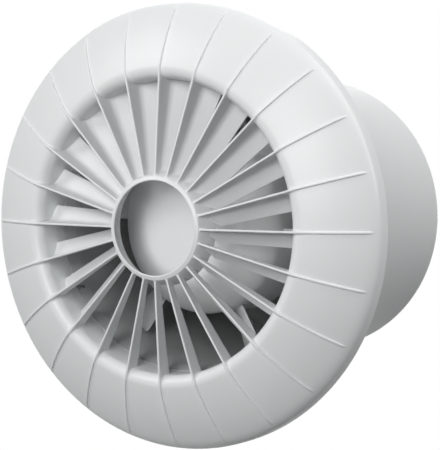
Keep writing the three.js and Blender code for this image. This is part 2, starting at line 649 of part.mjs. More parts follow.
// The two shells mirror each other: `face` is the closed end and `open` the end at the stack.
function motorShell(face, open) {
  const inwards = Math.sign(open - face);
  const wall = inwards * SHELL_WALL;
  const pocketEnd = face + wall + inwards * (BEARING_WIDTH + GAP);
  const body = turn([
    [BULKHEAD_HOLE_R, face], [MOTOR_R, face], [MOTOR_R, open], [MOTOR_R - SHELL_WALL, open],
    [MOTOR_R - SHELL_WALL, face + wall], [BEARING_R + GAP + SHELL_WALL, face + wall],
    [BEARING_R + GAP + SHELL_WALL, pocketEnd], [BEARING_R + GAP, pocketEnd],
    [BEARING_R + GAP, face + wall], [BULKHEAD_HOLE_R, face + wall],
  ]);
  const [low, high] = [Math.min(face + wall / 2, open), Math.max(face + wall / 2, open)];
  const posts = tieTurns.map((a) => rod(TIE_R + GAP + POST_WALL, low, high, TIE_PITCH_R, a));
  return join([body, ...posts]);
}

const tieHoles = tieTurns.map((a) => rod(
  TIE_R + GAP, FRONT_SHELL_FACE - NOTCH_ROOM, REAR_SHELL_FACE - SHELL_WALL - GAP, TIE_PITCH_R, a));
const mountPilots = mountTurns.map((a) => rod(
  MOUNT_SCREW_R + GAP, REAR_SHELL_FACE - SHELL_WALL - NOTCH_ROOM, REAR_SHELL_FACE + NOTCH_ROOM,
  MOUNT_PITCH_R, a));
addPiece('motor_front_shell', cut(motorShell(FRONT_SHELL_FACE, CORE_START - GAP), ...tieHoles), castAlloy,
  staticParts, FRONT_SHELL_FACE);
addPiece('motor_rear_shell', cut(motorShell(REAR_SHELL_FACE, CORE_BACK + GAP), ...tieHoles, ...mountPilots),
  castAlloy, staticParts, CORE_BACK + GAP);

// ---- Stator stack, formers and winding ----
const slotTurn = strutTurn + 180 / SLOTS;
const slotBox = (a, grow, y0, y1) => radialBox(
  COIL_INNER_R - grow, COIL_OUTER_R + grow, y0, y1, SLOT_WIDTH + 2 * grow, a);
const slots = around(SLOTS, (a) => slotBox(
  a, GAP, CORE_START - SHELL_DEPTH, CORE_BACK + SHELL_DEPTH), slotTurn);
addPiece('stator_core', cut(tube(STATOR_BORE_R, MOTOR_R, CORE_START, CORE_BACK, MOTOR_STEPS),
  ...slots, ...tieHoles), stackSteel, staticParts, CORE_START);

const formerBack = { coil_former_front: CORE_START - GAP, coil_former_rear: CORE_BACK + GAP + FORMER_WALL };
for (const [name, y] of Object.entries(formerBack)) {
  const plate = tube(COIL_INNER_R - FORMER_IN, COIL_OUTER_R + GAP, y - FORMER_WALL, y, MOTOR_STEPS);
  addPiece(name, cut(plate, ...slots), formerPlastic, staticParts, y - FORMER_WALL);
}

const headFront = CORE_START - 2 * GAP - FORMER_WALL;
const headBack = CORE_BACK + 2 * GAP + FORMER_WALL;
addPiece('stator_winding', join([
  tube(COIL_INNER_R, COIL_OUTER_R, headFront - COIL_DEPTH, headFront, MOTOR_STEPS),
  tube(COIL_INNER_R, COIL_OUTER_R, headBack, headBack + COIL_DEPTH, MOTOR_STEPS),
  ...around(SLOTS, (a) => slotBox(a, -SLOT_SLACK, headFront - EMBED, headBack + EMBED), slotTurn),
]), copper, staticParts, headFront - COIL_DEPTH);

// ---- Screws that tie the motor together ----
tieTurns.forEach((a, k) => {
  const seat = FRONT_SHELL_FACE - GAP;
  const screw = rod(TIE_HEAD_R, seat - TIE_HEAD, seat, TIE_PITCH_R, a).add(
    rod(TIE_R, seat - SHANK_OVERLAP, REAR_SHELL_FACE - SHELL_WALL - 3 * GAP, TIE_PITCH_R, a));
  addPiece(`motor_tie_screw_${k + 1}`, screw, steel, staticParts, seat);
});

// ---- Rubber bushes and screws that hold the motor on the bulkhead ----
const bushEnd = CUP_BACK - BULKHEAD_WALL - GAP;
const bushStart = Math.max(bushEnd - BUSH_DEPTH, REAR_SHELL_FACE + GAP);
mountTurns.forEach((a, k) => {
  const bush = cut(rod(BUSH_R, bushStart, bushEnd, MOUNT_PITCH_R, a),
    rod(MOUNT_SCREW_R + GAP, bushStart - NOTCH_ROOM, bushEnd + NOTCH_ROOM, MOUNT_PITCH_R, a));
  addPiece(`mount_bush_${k + 1}`, bush, rubberBlack, staticParts, bushStart);
  const seat = CUP_BACK + GAP;
  const screw = rod(MOUNT_HEAD_R, seat, seat + MOUNT_HEAD, MOUNT_PITCH_R, a).add(
    rod(MOUNT_SCREW_R, seat - MOUNT_SCREW_REACH - BULKHEAD_WALL, seat + SHANK_OVERLAP, MOUNT_PITCH_R, a));
  addPiece(`mount_screw_${k + 1}`, screw, steel, staticParts, seat);
});

// ---- Back-draught shutter: pin, two flaps and their springs ----
addPiece('shutter_pin', pinRod(PIN_R, -pinEnd, pinEnd), steel, staticParts, PIN_AT);

// The flaps' knuckles take turns along the pin, so each flap is cut away round the other's.
const knucklePitch = (KNUCKLE_END - SPRING_ROOM / 2) / KNUCKLES;
function pinRods(radius, side, grow) {
  return SIDES.flatMap((half) => Array.from({ length: KNUCKLES }, (_, k) => k)
    .filter((k) => (half > 0) === (k % 2 === 0) === (side > 0))
    .map((k) => {
      const ends = [k, k + 1].map((n) => half * (SPRING_ROOM / 2 + n * knucklePitch)).sort((a, b) => a - b);
      return pinRod(radius, ends[0] - grow, ends[1] + grow);
    }));
}

const flapR = BORE_R - FLAP_PLAY;
const springRoom = pinRod(KNUCKLE_R + GAP, -SPRING_ROOM / 2, SPRING_ROOM / 2);
const bossRooms = [
  pinRod(PIN_BOSS_R + GAP, KNUCKLE_END, SPIGOT_R),
  pinRod(PIN_BOSS_R + GAP, -SPIGOT_R, -KNUCKLE_END),
];
for (const [name, side] of [['left', -1], ['right', 1]]) {
  const disc = rod(flapR, FLAP_BACK - FLAP_WALL, FLAP_BACK, 0, 0, 0, TURN_STEPS);
  const otherHalf = radialBox(
    -SPIGOT_R, SPIGOT_R, SEAT_FACE, PIN_AT, SPIGOT_R, 0, (-side * (SPIGOT_R - GAP)) / 2);
  const flap = cut(disc, otherHalf, ...pinRods(KNUCKLE_R + GAP, -side, GAP / 2));
  addPiece(`shutter_flap_${name}`, cut(
    join([flap, ...pinRods(KNUCKLE_R, side, -GAP / 2)]),
    springRoom, ...bossRooms, pinBore,
  ), housingPlastic, name === 'left' ? leftFlapParts : rightFlapParts, PIN_AT);
  const [from, to] = [GAP / 2, SPRING_ROOM / 2 - GAP].map((z) => side * z).sort((a, b) => a - b);
  addPiece(`flap_spring_${name}`, cut(pinRod(PIN_BORE_R + SPRING_WALL, from, to), pinBore), steel,
    staticParts, PIN_AT);
}

// ---- Terminal block with its screws and cover ----
const blockBack = FLANGE_FRONT - GAP;
const blockFront = blockBack - TERMINAL_HEIGHT;
const terminalHole = (side) => rod(
  TERMINAL_SCREW_R + GAP, blockFront - NOTCH_ROOM, blockFront + TERMINAL_POCKET, TERMINAL_R,
  TERMINAL_TURN, (side * TERMINAL_PITCH) / 2);
addPiece('terminal_block', cut(
  radialBox(TERMINAL_R - TERMINAL_LENGTH / 2, TERMINAL_R + TERMINAL_LENGTH / 2, blockFront, blockBack,
    TERMINAL_WIDTH, TERMINAL_TURN),
  ...SIDES.map(terminalHole),
), terminalPlastic, staticParts, blockFront);
SIDES.forEach((side, k) => {
  const top = blockFront + TERMINAL_SINK;
  const screw = rod(TERMINAL_SCREW_R, top, top + TERMINAL_SCREW, TERMINAL_R, TERMINAL_TURN,
    (side * TERMINAL_PITCH) / 2);
  addPiece(`terminal_screw_${k + 1}`, screw, steel, staticParts, blockFront);
});

const coverFront = blockFront - GAP - COVER_WALL;
const halfLength = TERMINAL_LENGTH / 2 + GAP;
const coverShell = cut(
  radialBox(TERMINAL_R - halfLength - COVER_WALL, TERMINAL_R + halfLength + COVER_WALL, coverFront,
    blockBack, TERMINAL_WIDTH + 2 * (GAP + COVER_WALL), TERMINAL_TURN),
  radialBox(TERMINAL_R - halfLength, TERMINAL_R + halfLength, blockFront - GAP, blockBack + NOTCH_ROOM,
    TERMINAL_WIDTH + 2 * GAP, TERMINAL_TURN),
);
const coverEar = radialBox(TERMINAL_R - COVER_EAR / 2, TERMINAL_R + COVER_EAR / 2, blockBack - COVER_WALL,
  blockBack, COVER_EAR + COVER_WALL, TERMINAL_TURN, -coverEarShift);
const leadMouth = radialBox(
  TERMINAL_R - halfLength - COVER_WALL - NOTCH_ROOM, TERMINAL_R - halfLength + GAP / 2,
  blockBack - leadRoom, blockBack + NOTCH_ROOM, leadRoom, TERMINAL_TURN, leadShift);
addPiece('terminal_cover', cut(coverShell.add(coverEar), leadMouth,
  rod(COVER_SCREW_R + GAP, coverFront, blockBack + NOTCH_ROOM, TERMINAL_R, TERMINAL_TURN, -coverEarShift)),
  terminalPlastic, staticParts, coverFront);
const coverSeat = blockBack - COVER_WALL - GAP;
const coverScrewAt = [TERMINAL_R, TERMINAL_TURN, -coverEarShift];
addPiece('cover_screw', rod(COVER_HEAD_R, coverSeat - CLAMP_HEAD, coverSeat, ...coverScrewAt).add(
  rod(COVER_SCREW_R, coverSeat - SHANK_OVERLAP, FLANGE_BACK - GAP, ...coverScrewAt),
), steel, staticParts, coverSeat);

// ---- Cable clamp and its screws ----
const clampBack = cableFace - GAP;
const clampBar = cut(
  radialBox(CLAMP_R - CLAMP_WIDTH / 2, CLAMP_R + CLAMP_WIDTH / 2, clampBack - CLAMP_WALL, clampBack,
    CLAMP_LENGTH, CLAMP_TURN),
  ...SIDES.map((side) => rod(CLAMP_SCREW_R + GAP, clampBack - CLAMP_WALL - NOTCH_ROOM,
    clampBack + NOTCH_ROOM, CLAMP_R, CLAMP_TURN, (side * CLAMP_PITCH) / 2)),
);
addPiece('cable_clamp', clampBar, terminalPlastic, staticParts, clampBack);
SIDES.forEach((side, k) => {
  const seat = clampBack - CLAMP_WALL - GAP;
  const at = [CLAMP_R, CLAMP_TURN, (side * CLAMP_PITCH) / 2];
  const screw = rod(CLAMP_HEAD_R, seat - CLAMP_HEAD, seat, ...at).add(
    rod(CLAMP_SCREW_R, seat - SHANK_OVERLAP, FLANGE_BACK - GAP, ...at));
  addPiece(`clamp_screw_${k + 1}`, screw, steel, staticParts, seat);
});

// ---- Rubber grommet in the flange, for the mains cable ----
const grommet = turn([
  [GROMMET_BORE_R, FLANGE_FRONT - GAP - GROMMET_LIP],
  [GROMMET_R + GROMMET_HEAD, FLANGE_FRONT - GAP - GROMMET_LIP],
  [GROMMET_R + GROMMET_HEAD, FLANGE_FRONT - GAP],
  [GROMMET_R, FLANGE_FRONT - GAP],
  [GROMMET_R, FLANGE_BACK],
  [GROMMET_BORE_R, FLANGE_BACK],
], SMALL_STEPS);
const grommetPlace = new THREE.Vector3(0, 0, GROMMET_R_AT).applyAxisAngle(
  new THREE.Vector3(0, 1, 0), rad(GROMMET_TURN));
addPiece('cable_grommet', grommet.translate(grommetPlace.toArray()), rubberBlack);

// ---- Lead from the terminals to the motor ----
function leadPath() {
  const place = (r, y) => new THREE.Vector3(leadShift, y, r).applyAxisAngle(
    new THREE.Vector3(0, 1, 0), rad(TERMINAL_TURN));
  const topY = blockBack - LEAD_R - GAP;
  const corners = [
    [TERMINAL_R - TERMINAL_LENGTH / 2 - GAP, topY],
    [leadOutR, topY],
    [leadOutR, leadTurnY],
    [MOTOR_R + GAP, leadTurnY],
  ];
  const path = new THREE.CurvePath();
  let from = corners[0];
  for (let i = 1; i + 1 < corners.length; i += 1) {
    const [before, corner, after] = [corners[i - 1], corners[i], corners[i + 1]];
    const back = Math.hypot(before[0] - corner[0], before[1] - corner[1]);
    const ahead = Math.hypot(after[0] - corner[0], after[1] - corner[1]);
    const bend = Math.min(LEAD_BEND_R, back / 2, ahead / 2);
    const into = [0, 1].map((n) => corner[n] + ((before[n] - corner[n]) * bend) / back);
    const out = [0, 1].map((n) => corner[n] + ((after[n] - corner[n]) * bend) / ahead);
    path.add(new THREE.LineCurve3(place(...from), place(...into)));
    path.add(new THREE.QuadraticBezierCurve3(place(...into), place(...corner), place(...out)));
    from = out;
  }
  path.add(new THREE.LineCurve3(place(...from), place(...corners[corners.length - 1])));
  return path;
}

const leadSection = new THREE.Shape(Array.from({ length: LEAD_SIDES }, (_, k) => new THREE.Vector2(
  LEAD_R * Math.cos((k * 2 * Math.PI) / LEAD_SIDES), LEAD_R * Math.sin((k * 2 * Math.PI) / LEAD_SIDES))));
addPiece('motor_lead', solid(new THREE.ExtrudeGeometry(leadSection, {
  steps: LEAD_STEPS, extrudePath: leadPath(), bevelEnabled: false,
})), leadSheath);

export default fan;
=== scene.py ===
"""Round duct exhaust fan, seen from the room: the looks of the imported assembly. Named sizes are in
millimetres, and the scene is in metres."""

import math

import bpy
import numpy as np
from mathutils import Matrix, Vector


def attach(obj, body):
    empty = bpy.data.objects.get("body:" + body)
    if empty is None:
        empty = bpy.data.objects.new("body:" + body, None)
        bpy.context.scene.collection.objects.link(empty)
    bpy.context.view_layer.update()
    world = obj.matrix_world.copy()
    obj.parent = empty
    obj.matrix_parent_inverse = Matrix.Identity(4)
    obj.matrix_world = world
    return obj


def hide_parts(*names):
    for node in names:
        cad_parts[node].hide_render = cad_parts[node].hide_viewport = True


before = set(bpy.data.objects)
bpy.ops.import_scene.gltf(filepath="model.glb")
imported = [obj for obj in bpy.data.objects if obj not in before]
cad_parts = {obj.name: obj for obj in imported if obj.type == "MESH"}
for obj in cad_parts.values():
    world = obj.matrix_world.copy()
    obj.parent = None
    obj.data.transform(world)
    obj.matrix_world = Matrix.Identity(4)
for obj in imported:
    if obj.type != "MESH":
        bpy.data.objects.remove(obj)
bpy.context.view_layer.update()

# ---- Front fascia ----
# The white ABS moulding that shows in the room: a shallow dome that rolls over a bull-nose lip into
# the throat. It is moulded in one with the vanes and the ring, and clips on the housing's flange.
MM = 0.001
FULL_TURN = 2 * math.pi
RIM_R = 94
RIM_SKIRT = 5.5
SHOULDER_IN = 3.5
SHOULDER_HEIGHT = 10.6
THROAT_R = 61.3
THROAT_END = 4.9
LIP_R = 4.2
LIP_HEIGHT = 22.6
LIP_SLOPE = math.radians(18)
FASCIA_WALL = 2
DOME_FULLNESS = 0.57
RIM_ROLL = (0.34, 2.4)
RIM_EDGE = 0.4
FASCIA_STEPS = 192


def mix(a, b, t):
    return a + (b - a) * t


def bezier(p0, p1, p2, steps):
    """Points of a quadratic curve, without its first point."""
    points = []
    for k in range(1, steps + 1):
        t = k / steps
        points.append(tuple(mix(mix(p0[n], p1[n], t), mix(p1[n], p2[n], t), t) for n in (0, 1)))
    return points


def offset(line, distance):
    """A line of points, moved to its left by a distance."""
    moved = []
    for k, (x, y) in enumerate(line):
        x0, y0 = line[max(k - 1, 0)]
        x1, y1 = line[min(k + 1, len(line) - 1)]
        length = math.hypot(x1 - x0, y1 - y0)
        moved.append((x - distance * (y1 - y0) / length, y + distance * (x1 - x0) / length))
    return moved


def settle(name, sharp=35):
    """Closes the piece being edited, turns its faces outwards and puts its place in its mesh."""
    bpy.ops.mesh.select_all(action="SELECT")
    bpy.ops.mesh.remove_doubles(threshold=1e-6)
    bpy.ops.mesh.normals_make_consistent(inside=False)
    bpy.ops.object.mode_set(mode="OBJECT")
    bpy.ops.object.transform_apply(location=True, rotation=True, scale=True)
    bpy.ops.object.shade_smooth_by_angle(angle=math.radians(sharp))
    piece = bpy.context.object
    piece.name = piece.data.name = name
    return piece


def turned(name, profile, steps=96):
    """Draws a closed profile of (radius, height) points by extruding a vertex, and turns it round the
    fan's axis. Heights are in millimetres towards the room from the wall's face."""
    bpy.ops.object.select_all(action="DESELECT")
    radius, height = profile[0]
    bpy.ops.mesh.primitive_plane_add(
        size=MM, enter_editmode=True, location=(0, -height * MM, radius * MM))
    bpy.ops.mesh.merge(type="CENTER")
    for next_radius, next_height in [*profile[1:], profile[0]]:
        step = (0, (height - next_height) * MM, (next_radius - radius) * MM)
        bpy.ops.mesh.extrude_region_move(TRANSFORM_OT_translate={"value": step})
        radius, height = next_radius, next_height
    bpy.ops.mesh.select_all(action="SELECT")
    bpy.ops.mesh.remove_doubles(threshold=1e-6)
    bpy.ops.mesh.spin(steps=steps, angle=FULL_TURN, center=(0, 0, 0), axis=(0, 1, 0))
    return settle(name)


lip_centre = (THROAT_R + LIP_R, LIP_HEIGHT - LIP_R)


def on_lip(angle):
    return (lip_centre[0] + LIP_R * math.cos(angle), lip_centre[1] + LIP_R * math.sin(angle))


dome_start = on_lip(math.pi / 2 - LIP_SLOPE)
shoulder = (RIM_R - SHOULDER_IN, SHOULDER_HEIGHT)
dome_run = (shoulder[0] - dome_start[0]) * DOME_FULLNESS
dome_control = (dome_start[0] + dome_run, dome_start[1] - dome_run * math.tan(LIP_SLOPE))
rim_control = (RIM_R - RIM_ROLL[0], SHOULDER_HEIGHT - RIM_ROLL[1])
lip_line = [on_lip(mix(math.pi, math.pi / 2 - LIP_SLOPE, k / 12)) for k in range(13)]
dome_line = bezier(dome_start, dome_control, shoulder, 16)
rim_line = bezier(shoulder, rim_control, (RIM_R, RIM_SKIRT), 8)
face_line = [(THROAT_R, THROAT_END), *lip_line, *dome_line, *rim_line]
outer_line = [*face_line, (RIM_R, RIM_EDGE), (RIM_R - RIM_EDGE, 0)]
inner_line = offset([*face_line, (RIM_R, 0)], -FASCIA_WALL)
inner_line[0] = (inner_line[0][0], THROAT_END)
inner_line[-1] = (inner_line[-1][0], 0)
fascia = turned("fascia_dome", [*outer_line, *reversed(inner_line)], FASCIA_STEPS)


class Signal:
    """A socket of a material, on which shader sums are written as plain Python."""

    def __init__(self, tree, socket=None):
        self.tree = tree
        self.socket = socket

    def node(self, kind, settings=None, inputs=None, output=0):
        made = self.tree.nodes.new(kind)
        for name, value in (settings or {}).items():
            if name == "stops":
                for stop, (place, shade) in zip(made.color_ramp.elements, value):
                    stop.position = place
                    stop.color = (shade, shade, shade, 1)
            else:
                setattr(made, name, value)
        for name, value in (inputs or {}).items():
            if isinstance(value, Signal):
                self.tree.links.new(value.socket, made.inputs[name])
            else:
                made.inputs[name].default_value = value
        return Signal(self.tree, made.outputs[output])

    def maths(self, operation, a, b):
        return self.node("ShaderNodeMath", {"operation": operation}, {0: a, 1: b})

    def __add__(self, other):
        return self.maths("ADD", self, other)

    __radd__ = __add__

    def __mul__(self, other):
        return self.maths("MULTIPLY", self, other)

    __rmul__ = __mul__


def place_on_piece(tree, stretch=(1, 1, 1)):
    """The point on the piece, with its directions stretched for grain or brush marks."""
    here = Signal(tree).node("ShaderNodeTexCoord", output=3)
    return here.node("ShaderNodeMapping", {}, {"Vector": here, "Scale": stretch})


def noise(place, scale, detail=2.0, rough=0.5):
    return place.node("ShaderNodeTexNoise", {}, {
        "Vector": place, "Scale": scale, "Detail": detail, "Roughness": rough})


def tint(value, dark, light):
    """A colour between two, by a value from 0 to 1."""
    return value.node("ShaderNodeMix", {"data_type": "RGBA"}, {
        0: value, 6: (*dark, 1), 7: (*light, 1)}, output=2)


def finish(name, **constants):
    """An empty material with its principled shader, whose constant sockets are set at once."""
    material = bpy.data.materials.new(name)
    material.use_nodes = True
    shader = material.node_tree.nodes["Principled BSDF"]
    for socket, value in constants.items():
        shader.inputs[socket.replace("_", " ")].default_value = value
    return material, material.node_tree, shader


def wire(tree, shader, colour, roughness, height, depth):
    """Leads the varying colour, roughness and surface height to the shader."""
    tree.links.new(colour.socket, shader.inputs["Base Color"])
    tree.links.new(roughness.socket, shader.inputs["Roughness"])
    bump = colour.node("ShaderNodeBump", {}, {"Strength": 1.0, "Distance": depth, "Height": height})
    tree.links.new(bump.socket, shader.inputs["Normal"])


ETCHED_GRAIN = 0.000012
SHELL_WHITE = (0.8, 0.815, 0.82)


def moulded_plastic(name, colour, roughness, gloss=0.3, draw=(1, 1, 1), painted_shade=None):
    """White ABS: slow flow clouds in the colour, a fine etched grain, and a broken soft gloss. Between
    two distances from the fan's axis, in millimetres, the colour can turn to painted shade, a darker share of
    it."""
    material, tree, shader = finish(name, IOR=1.53, Specular_IOR_Level=gloss)
    place = place_on_piece(tree)
    clouds = noise(place, 16, 3)
    flow = noise(place_on_piece(tree, draw), 60, 2)
    etch = noise(place, 2600, 2, 0.6)
    shade = clouds * 0.6 + flow * 0.4
    skin = tint(shade, tuple(c * 0.955 for c in colour), colour)
    # Painted shade: from the first distance off the axis to the second, the colour is multiplied down to a
    # darker share.
    if painted_shade:
        start, end, share = painted_shade
        across = place.node("ShaderNodeVectorMath", {"operation": "MULTIPLY"}, {0: place, 1: (1, 0, 1)})
        radius = across.node("ShaderNodeVectorMath", {"operation": "LENGTH"}, {0: across}, output=1)
        painted_shade_mask = radius.node("ShaderNodeMapRange", {}, {0: radius, 1: start * MM, 2: end * MM, 3: 0.0, 4: 1.0})
        painted_shade_colour = tint(painted_shade_mask, (1, 1, 1), (share, share, share))
        skin = skin.node("ShaderNodeMix", {"data_type": "RGBA", "blend_type": "MULTIPLY"}, {
            0: 1.0, 6: skin, 7: painted_shade_colour}, output=2)
    wire(tree, shader, skin, roughness - 0.06 + 0.1 * shade + 0.04 * etch, 0.8 * etch + 0.2 * flow,
         ETCHED_GRAIN)
    return material


fascia_white = moulded_plastic("fascia_white", SHELL_WHITE, 0.34)


def dress(piece, material, body, slot, *nodes):
    """Gives a piece its material and its place in the assembly."""
    piece.data.materials.clear()
    piece.data.materials.append(material)
    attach(piece, body)
    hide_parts(*nodes)


dress(fascia, fascia_white, "casing", "fascia_white", "front_grille")

# ---- Centre ring ----
# A thin flared collar in front of the impeller's nose, in one with the fascia. The vanes hang it in
# the middle of the throat, and its front edge is rounded.
RING_HEIGHT = 27.4
RING_R = 20.5
RING_WALL = 1
RING_DEPTH = 9.8
RING_FLARE = 3.7
RING_EDGE = [(-0.42, 0.4), (-0.28, 0.14), (0, 0), (0.32, 0.1), (0.62, 0.3)]


def ring_outside(depth):
    return RING_R + RING_FLARE * math.sqrt(max(depth, 0) / RING_DEPTH)


ring_depths = [0.55, 0.9, 1.4, 2.1, 3, 4.2, 5.6, 7.2, 8.6, RING_DEPTH]
ring_edge = [(RING_R - RING_WALL / 2 + r, RING_HEIGHT - d) for r, d in RING_EDGE]
ring_outer = [(ring_outside(d), RING_HEIGHT - d) for d in ring_depths]
ring_inner = [(r - RING_WALL, h) for r, h in ring_outer]
ring = turned("centre_ring", [*ring_edge, *ring_outer, *reversed(ring_inner)], 128)
dress(ring, fascia_white, "casing", "fascia_white", "front_grille")

# ---- Guide vanes ----
# Twenty-four thin curved vanes of the same moulding. Each has a straight leaf at the front, bends
# over towards its tail, and grows out of the throat and the ring with fillets.
VANES = 24
VANE_WALL = 0.95
VANE_LEAF = (2.4, 7)
VANE_BEND_R = 5
VANE_TILT = math.radians(4)
VANE_TAIL = (math.radians(38), math.radians(56))
VANE_SWEEP = (5.4, 7.2)
VANE_FRONT = (26.6, 23.4)
VANE_ROOT = 0.8
ROOT_RISE = (0.2, 1.4)
VANE_TIP = (0.35, 0.3)
VANE_END = THROAT_R + 1
CREST = [(0, 0), (0.03, 0.5), (0.12, 0.8), (0.3, 0.96)]
LIP_FILLET = 1.3
RING_FILLET = 0.7
FIN_FILLET = 0.3
FILLET_FADE_DEPTHS = (1, 3.5)
FILLET_FADE_RADII = (63, 68)


def lofted(name, rings, sharp=35):
    """Rolls a flat grid into a skin through closed rings of points, and fills its two ends."""
    bpy.ops.object.select_all(action="DESELECT")
    around, along = len(rings[0]), len(rings)
    bpy.ops.mesh.primitive_grid_add(x_subdivisions=around, y_subdivisions=along - 1, size=MM)
    points = [point for ring in rings for point in (*ring, ring[0])]
    grid = bpy.context.object
    grid.data.vertices.foreach_set("co", np.array(points, float).ravel() * MM)
    bpy.ops.object.mode_set(mode="EDIT")
    bpy.ops.mesh.select_all(action="SELECT")
    bpy.ops.mesh.remove_doubles(threshold=1e-6)
    bpy.ops.mesh.fill_holes(sides=0)
    return settle(name, sharp)


def repeat_around(piece, count):
    """Copies a piece in edit mode to its other places round the fan's axis."""
    bpy.ops.object.select_all(action="DESELECT")
    piece.select_set(True)
    bpy.context.view_layer.objects.active = piece
    bpy.ops.object.mode_set(mode="EDIT")
    bpy.ops.mesh.select_all(action="SELECT")
    bpy.ops.mesh.spin(steps=count - 1, dupli=True, angle=FULL_TURN * (count - 1) / count,
                      center=(0, 0, 0), axis=(0, 1, 0))
    bpy.ops.object.mode_set(mode="OBJECT")
    return piece


def fillet(distance, radius):
    """How much a round fillet adds to a wall's side at a distance from what the wall stands on."""
    rest = min(max(radius - distance, 0), radius)
    return radius - math.sqrt(radius ** 2 - rest ** 2)


def fascia_height(radius):
    """Height of the fascia's outer face, from the throat over the lip to the rim."""
    radii, heights = zip(*face_line[1:])
    return float(np.interp(radius, radii, heights))


def from_fascia(radius, height):
    """Distance of a point from the throat, the lip or the dome."""
    if radius > dome_start[0]:
        return (height - fascia_height(radius)) * math.cos(LIP_SLOPE)
    if height < lip_centre[1]:
        return THROAT_R - radius
    return math.hypot(lip_centre[0] - radius, height - lip_centre[1]) - LIP_R


def half_wall(radius, height, depth):
    """Half of a vane's or fin's width: a round crest, then the wall, then the fillets."""
    crest = float(np.interp(depth, [d for d, _ in CREST], [share for _, share in CREST]))
    front = float(np.interp(depth, FILLET_FADE_DEPTHS, (LIP_FILLET, FIN_FILLET)))
    reach = float(np.interp(radius, FILLET_FADE_RADII, (front, FIN_FILLET)))
    return (VANE_WALL / 2 * crest + fillet(from_fascia(radius, height), reach)
            + fillet(radius - ring_outside(RING_HEIGHT - height), RING_FILLET))


def vane_middle(t):
    """Middle line of a vane's section: depth behind the front edge, and sideways reach."""
    leaf, tail, sweep = (mix(*pair, t) for pair in (VANE_LEAF, VANE_TAIL, VANE_SWEEP))
    depths = [*(d for d, _ in CREST), *(mix(CREST[-1][0], leaf, k / 6) for k in range(1, 7))]
    line = [(d, d * math.tan(VANE_TILT)) for d in depths]
    depth, across = line[-1]
    for k in range(1, 9):
        angle = mix(VANE_TILT, tail, k / 8)
        line.append((depth + VANE_BEND_R * (math.sin(angle) - math.sin(VANE_TILT)),
                     across + VANE_BEND_R * (math.cos(VANE_TILT) - math.cos(angle))))
    depth, across = line[-1]
    line.append((depth + (sweep - across) / math.tan(tail), sweep))
    return line


def vane_ring(t):
    """A closed section of the vane at a share of its length."""
    middle = vane_middle(t)
    front = mix(*VANE_FRONT, t)
    behind = [RING_HEIGHT - front + depth for depth, _ in middle]
    before, slope = ROOT_RISE
    root = [ring_outside(min(d, RING_DEPTH)) - VANE_ROOT + slope * max(d - RING_DEPTH + before, 0)
            for d in behind]
    radii = [mix(r, VANE_END, t) for r in root]
    sides = []
    for side in (1, -1):
        halves = [side * half_wall(r, front - d, d) for r, (d, _) in zip(radii, middle)]
        moved = [offset(middle, half)[k] for k, half in enumerate(halves)]
        sides.append([(across, depth, r) for (depth, across), r in zip(moved, radii)])
    depth, across = middle[-1]
    outline = [*sides[0], (across + VANE_TIP[0], depth + VANE_TIP[1], radii[-1]), *reversed(sides[1])]
    return [(across, depth - front, math.sqrt(r ** 2 - across ** 2)) for across, depth, r in outline]


vane_stations = [0, 0.019, 0.0205, 0.023, 0.027, 0.032, 0.06, 0.2, 0.36, 0.52, 0.68, 0.82, 0.9, 0.928, 0.938,
                 0.947, 0.955, 0.962, 0.967, 0.972, 0.9745, 0.977, 0.985, 1]
vanes = repeat_around(lofted("guide_vanes", [vane_ring(t) for t in vane_stations]), VANES)
dress(vanes, fascia_white, "casing", "fascia_white", "front_grille")

# ---- Fins over the dome ----
# Each vane's edge runs on over the lip as a fine raised rib, and dies out just short of the rim.
FIN_PROUD = 0.8
FIN_FOOT = 0.5
FIN_CREST = (0, 0.06, 0.2, 0.36)
FIN_SIDE = (0.6, 0.42, 0.28, 0.17, 0.09, 0.03, 0)
FIN_FADE = [(89.4, 1), (90.3, 0.86), (91, 0.62), (91.6, 0.35), (92, 0.14), (92.3, 0.01)]


def fin_ring(radius):
    """An upright section of a fin from its crest to below the face that it stands on."""
    face = fascia_height(radius)
    fade = float(np.interp(radius, *zip(*FIN_FADE)))
    crest = VANE_FRONT[1] if radius < lip_centre[0] else face + FIN_PROUD * fade
    rise = crest - face
    depths = [min(d, rise * share) for (d, _), share in zip(CREST, FIN_CREST)]
    depths += [rise * (1 - share) for share in FIN_SIDE]
    side = [(half_wall(radius, crest - d, d), d) for d in depths]
    side.append((side[-1][0], rise + FIN_FOOT))
    outline = [*side, *((-across, d) for across, d in reversed(side))]
    return [(across, d - crest, math.sqrt(radius ** 2 - across ** 2)) for across, d in outline]


fin_radii = [61.9, 62.2, 62.6, 63, 63.5, 64, 64.6, 65.2, 65.8, 66.4, 67, 67.6, 68.4, 70, 72, 74, 76, 78, 80,
             82, 84, 86, 88, *(r for r, _ in FIN_FADE)]
fins = repeat_around(lofted("dome_fins", [fin_ring(r) for r in fin_radii]), VANES)
dress(fins, fascia_white, "casing", "fascia_white", "front_grille")

# ---- Snap clips of the fascia ----
# Four legs moulded inside the dome. They pass through the flange and hook behind it with a barb.
CLIP_TURNS = [20, 110, 200, 290]
CLIP_R = 72
CLIP_WALL = 1.8
CLIP_WIDTH = 10
CLIP_BARB = 1.2
CLIP_ROOT = -18.6
CLIP_EDGE = 0.25
FLANGE_BACK = -2.1
GAP = 0.3


def box_at(turn, r0, r1, y0, y1, width, shift=0, edit=False):
    """A box by its extent along the radius, along the axis and across, at one angle round the fan."""
    middle = Matrix.Rotation(math.radians(turn), 3, "Y") @ Vector((shift, (y0 + y1) / 2, (r0 + r1) / 2))
    bpy.ops.mesh.primitive_cube_add(
        size=1, location=middle * MM, rotation=(0, math.radians(turn), 0),
        scale=(width * MM, (y1 - y0) * MM, (r1 - r0) * MM), enter_editmode=edit)
    return bpy.context.object


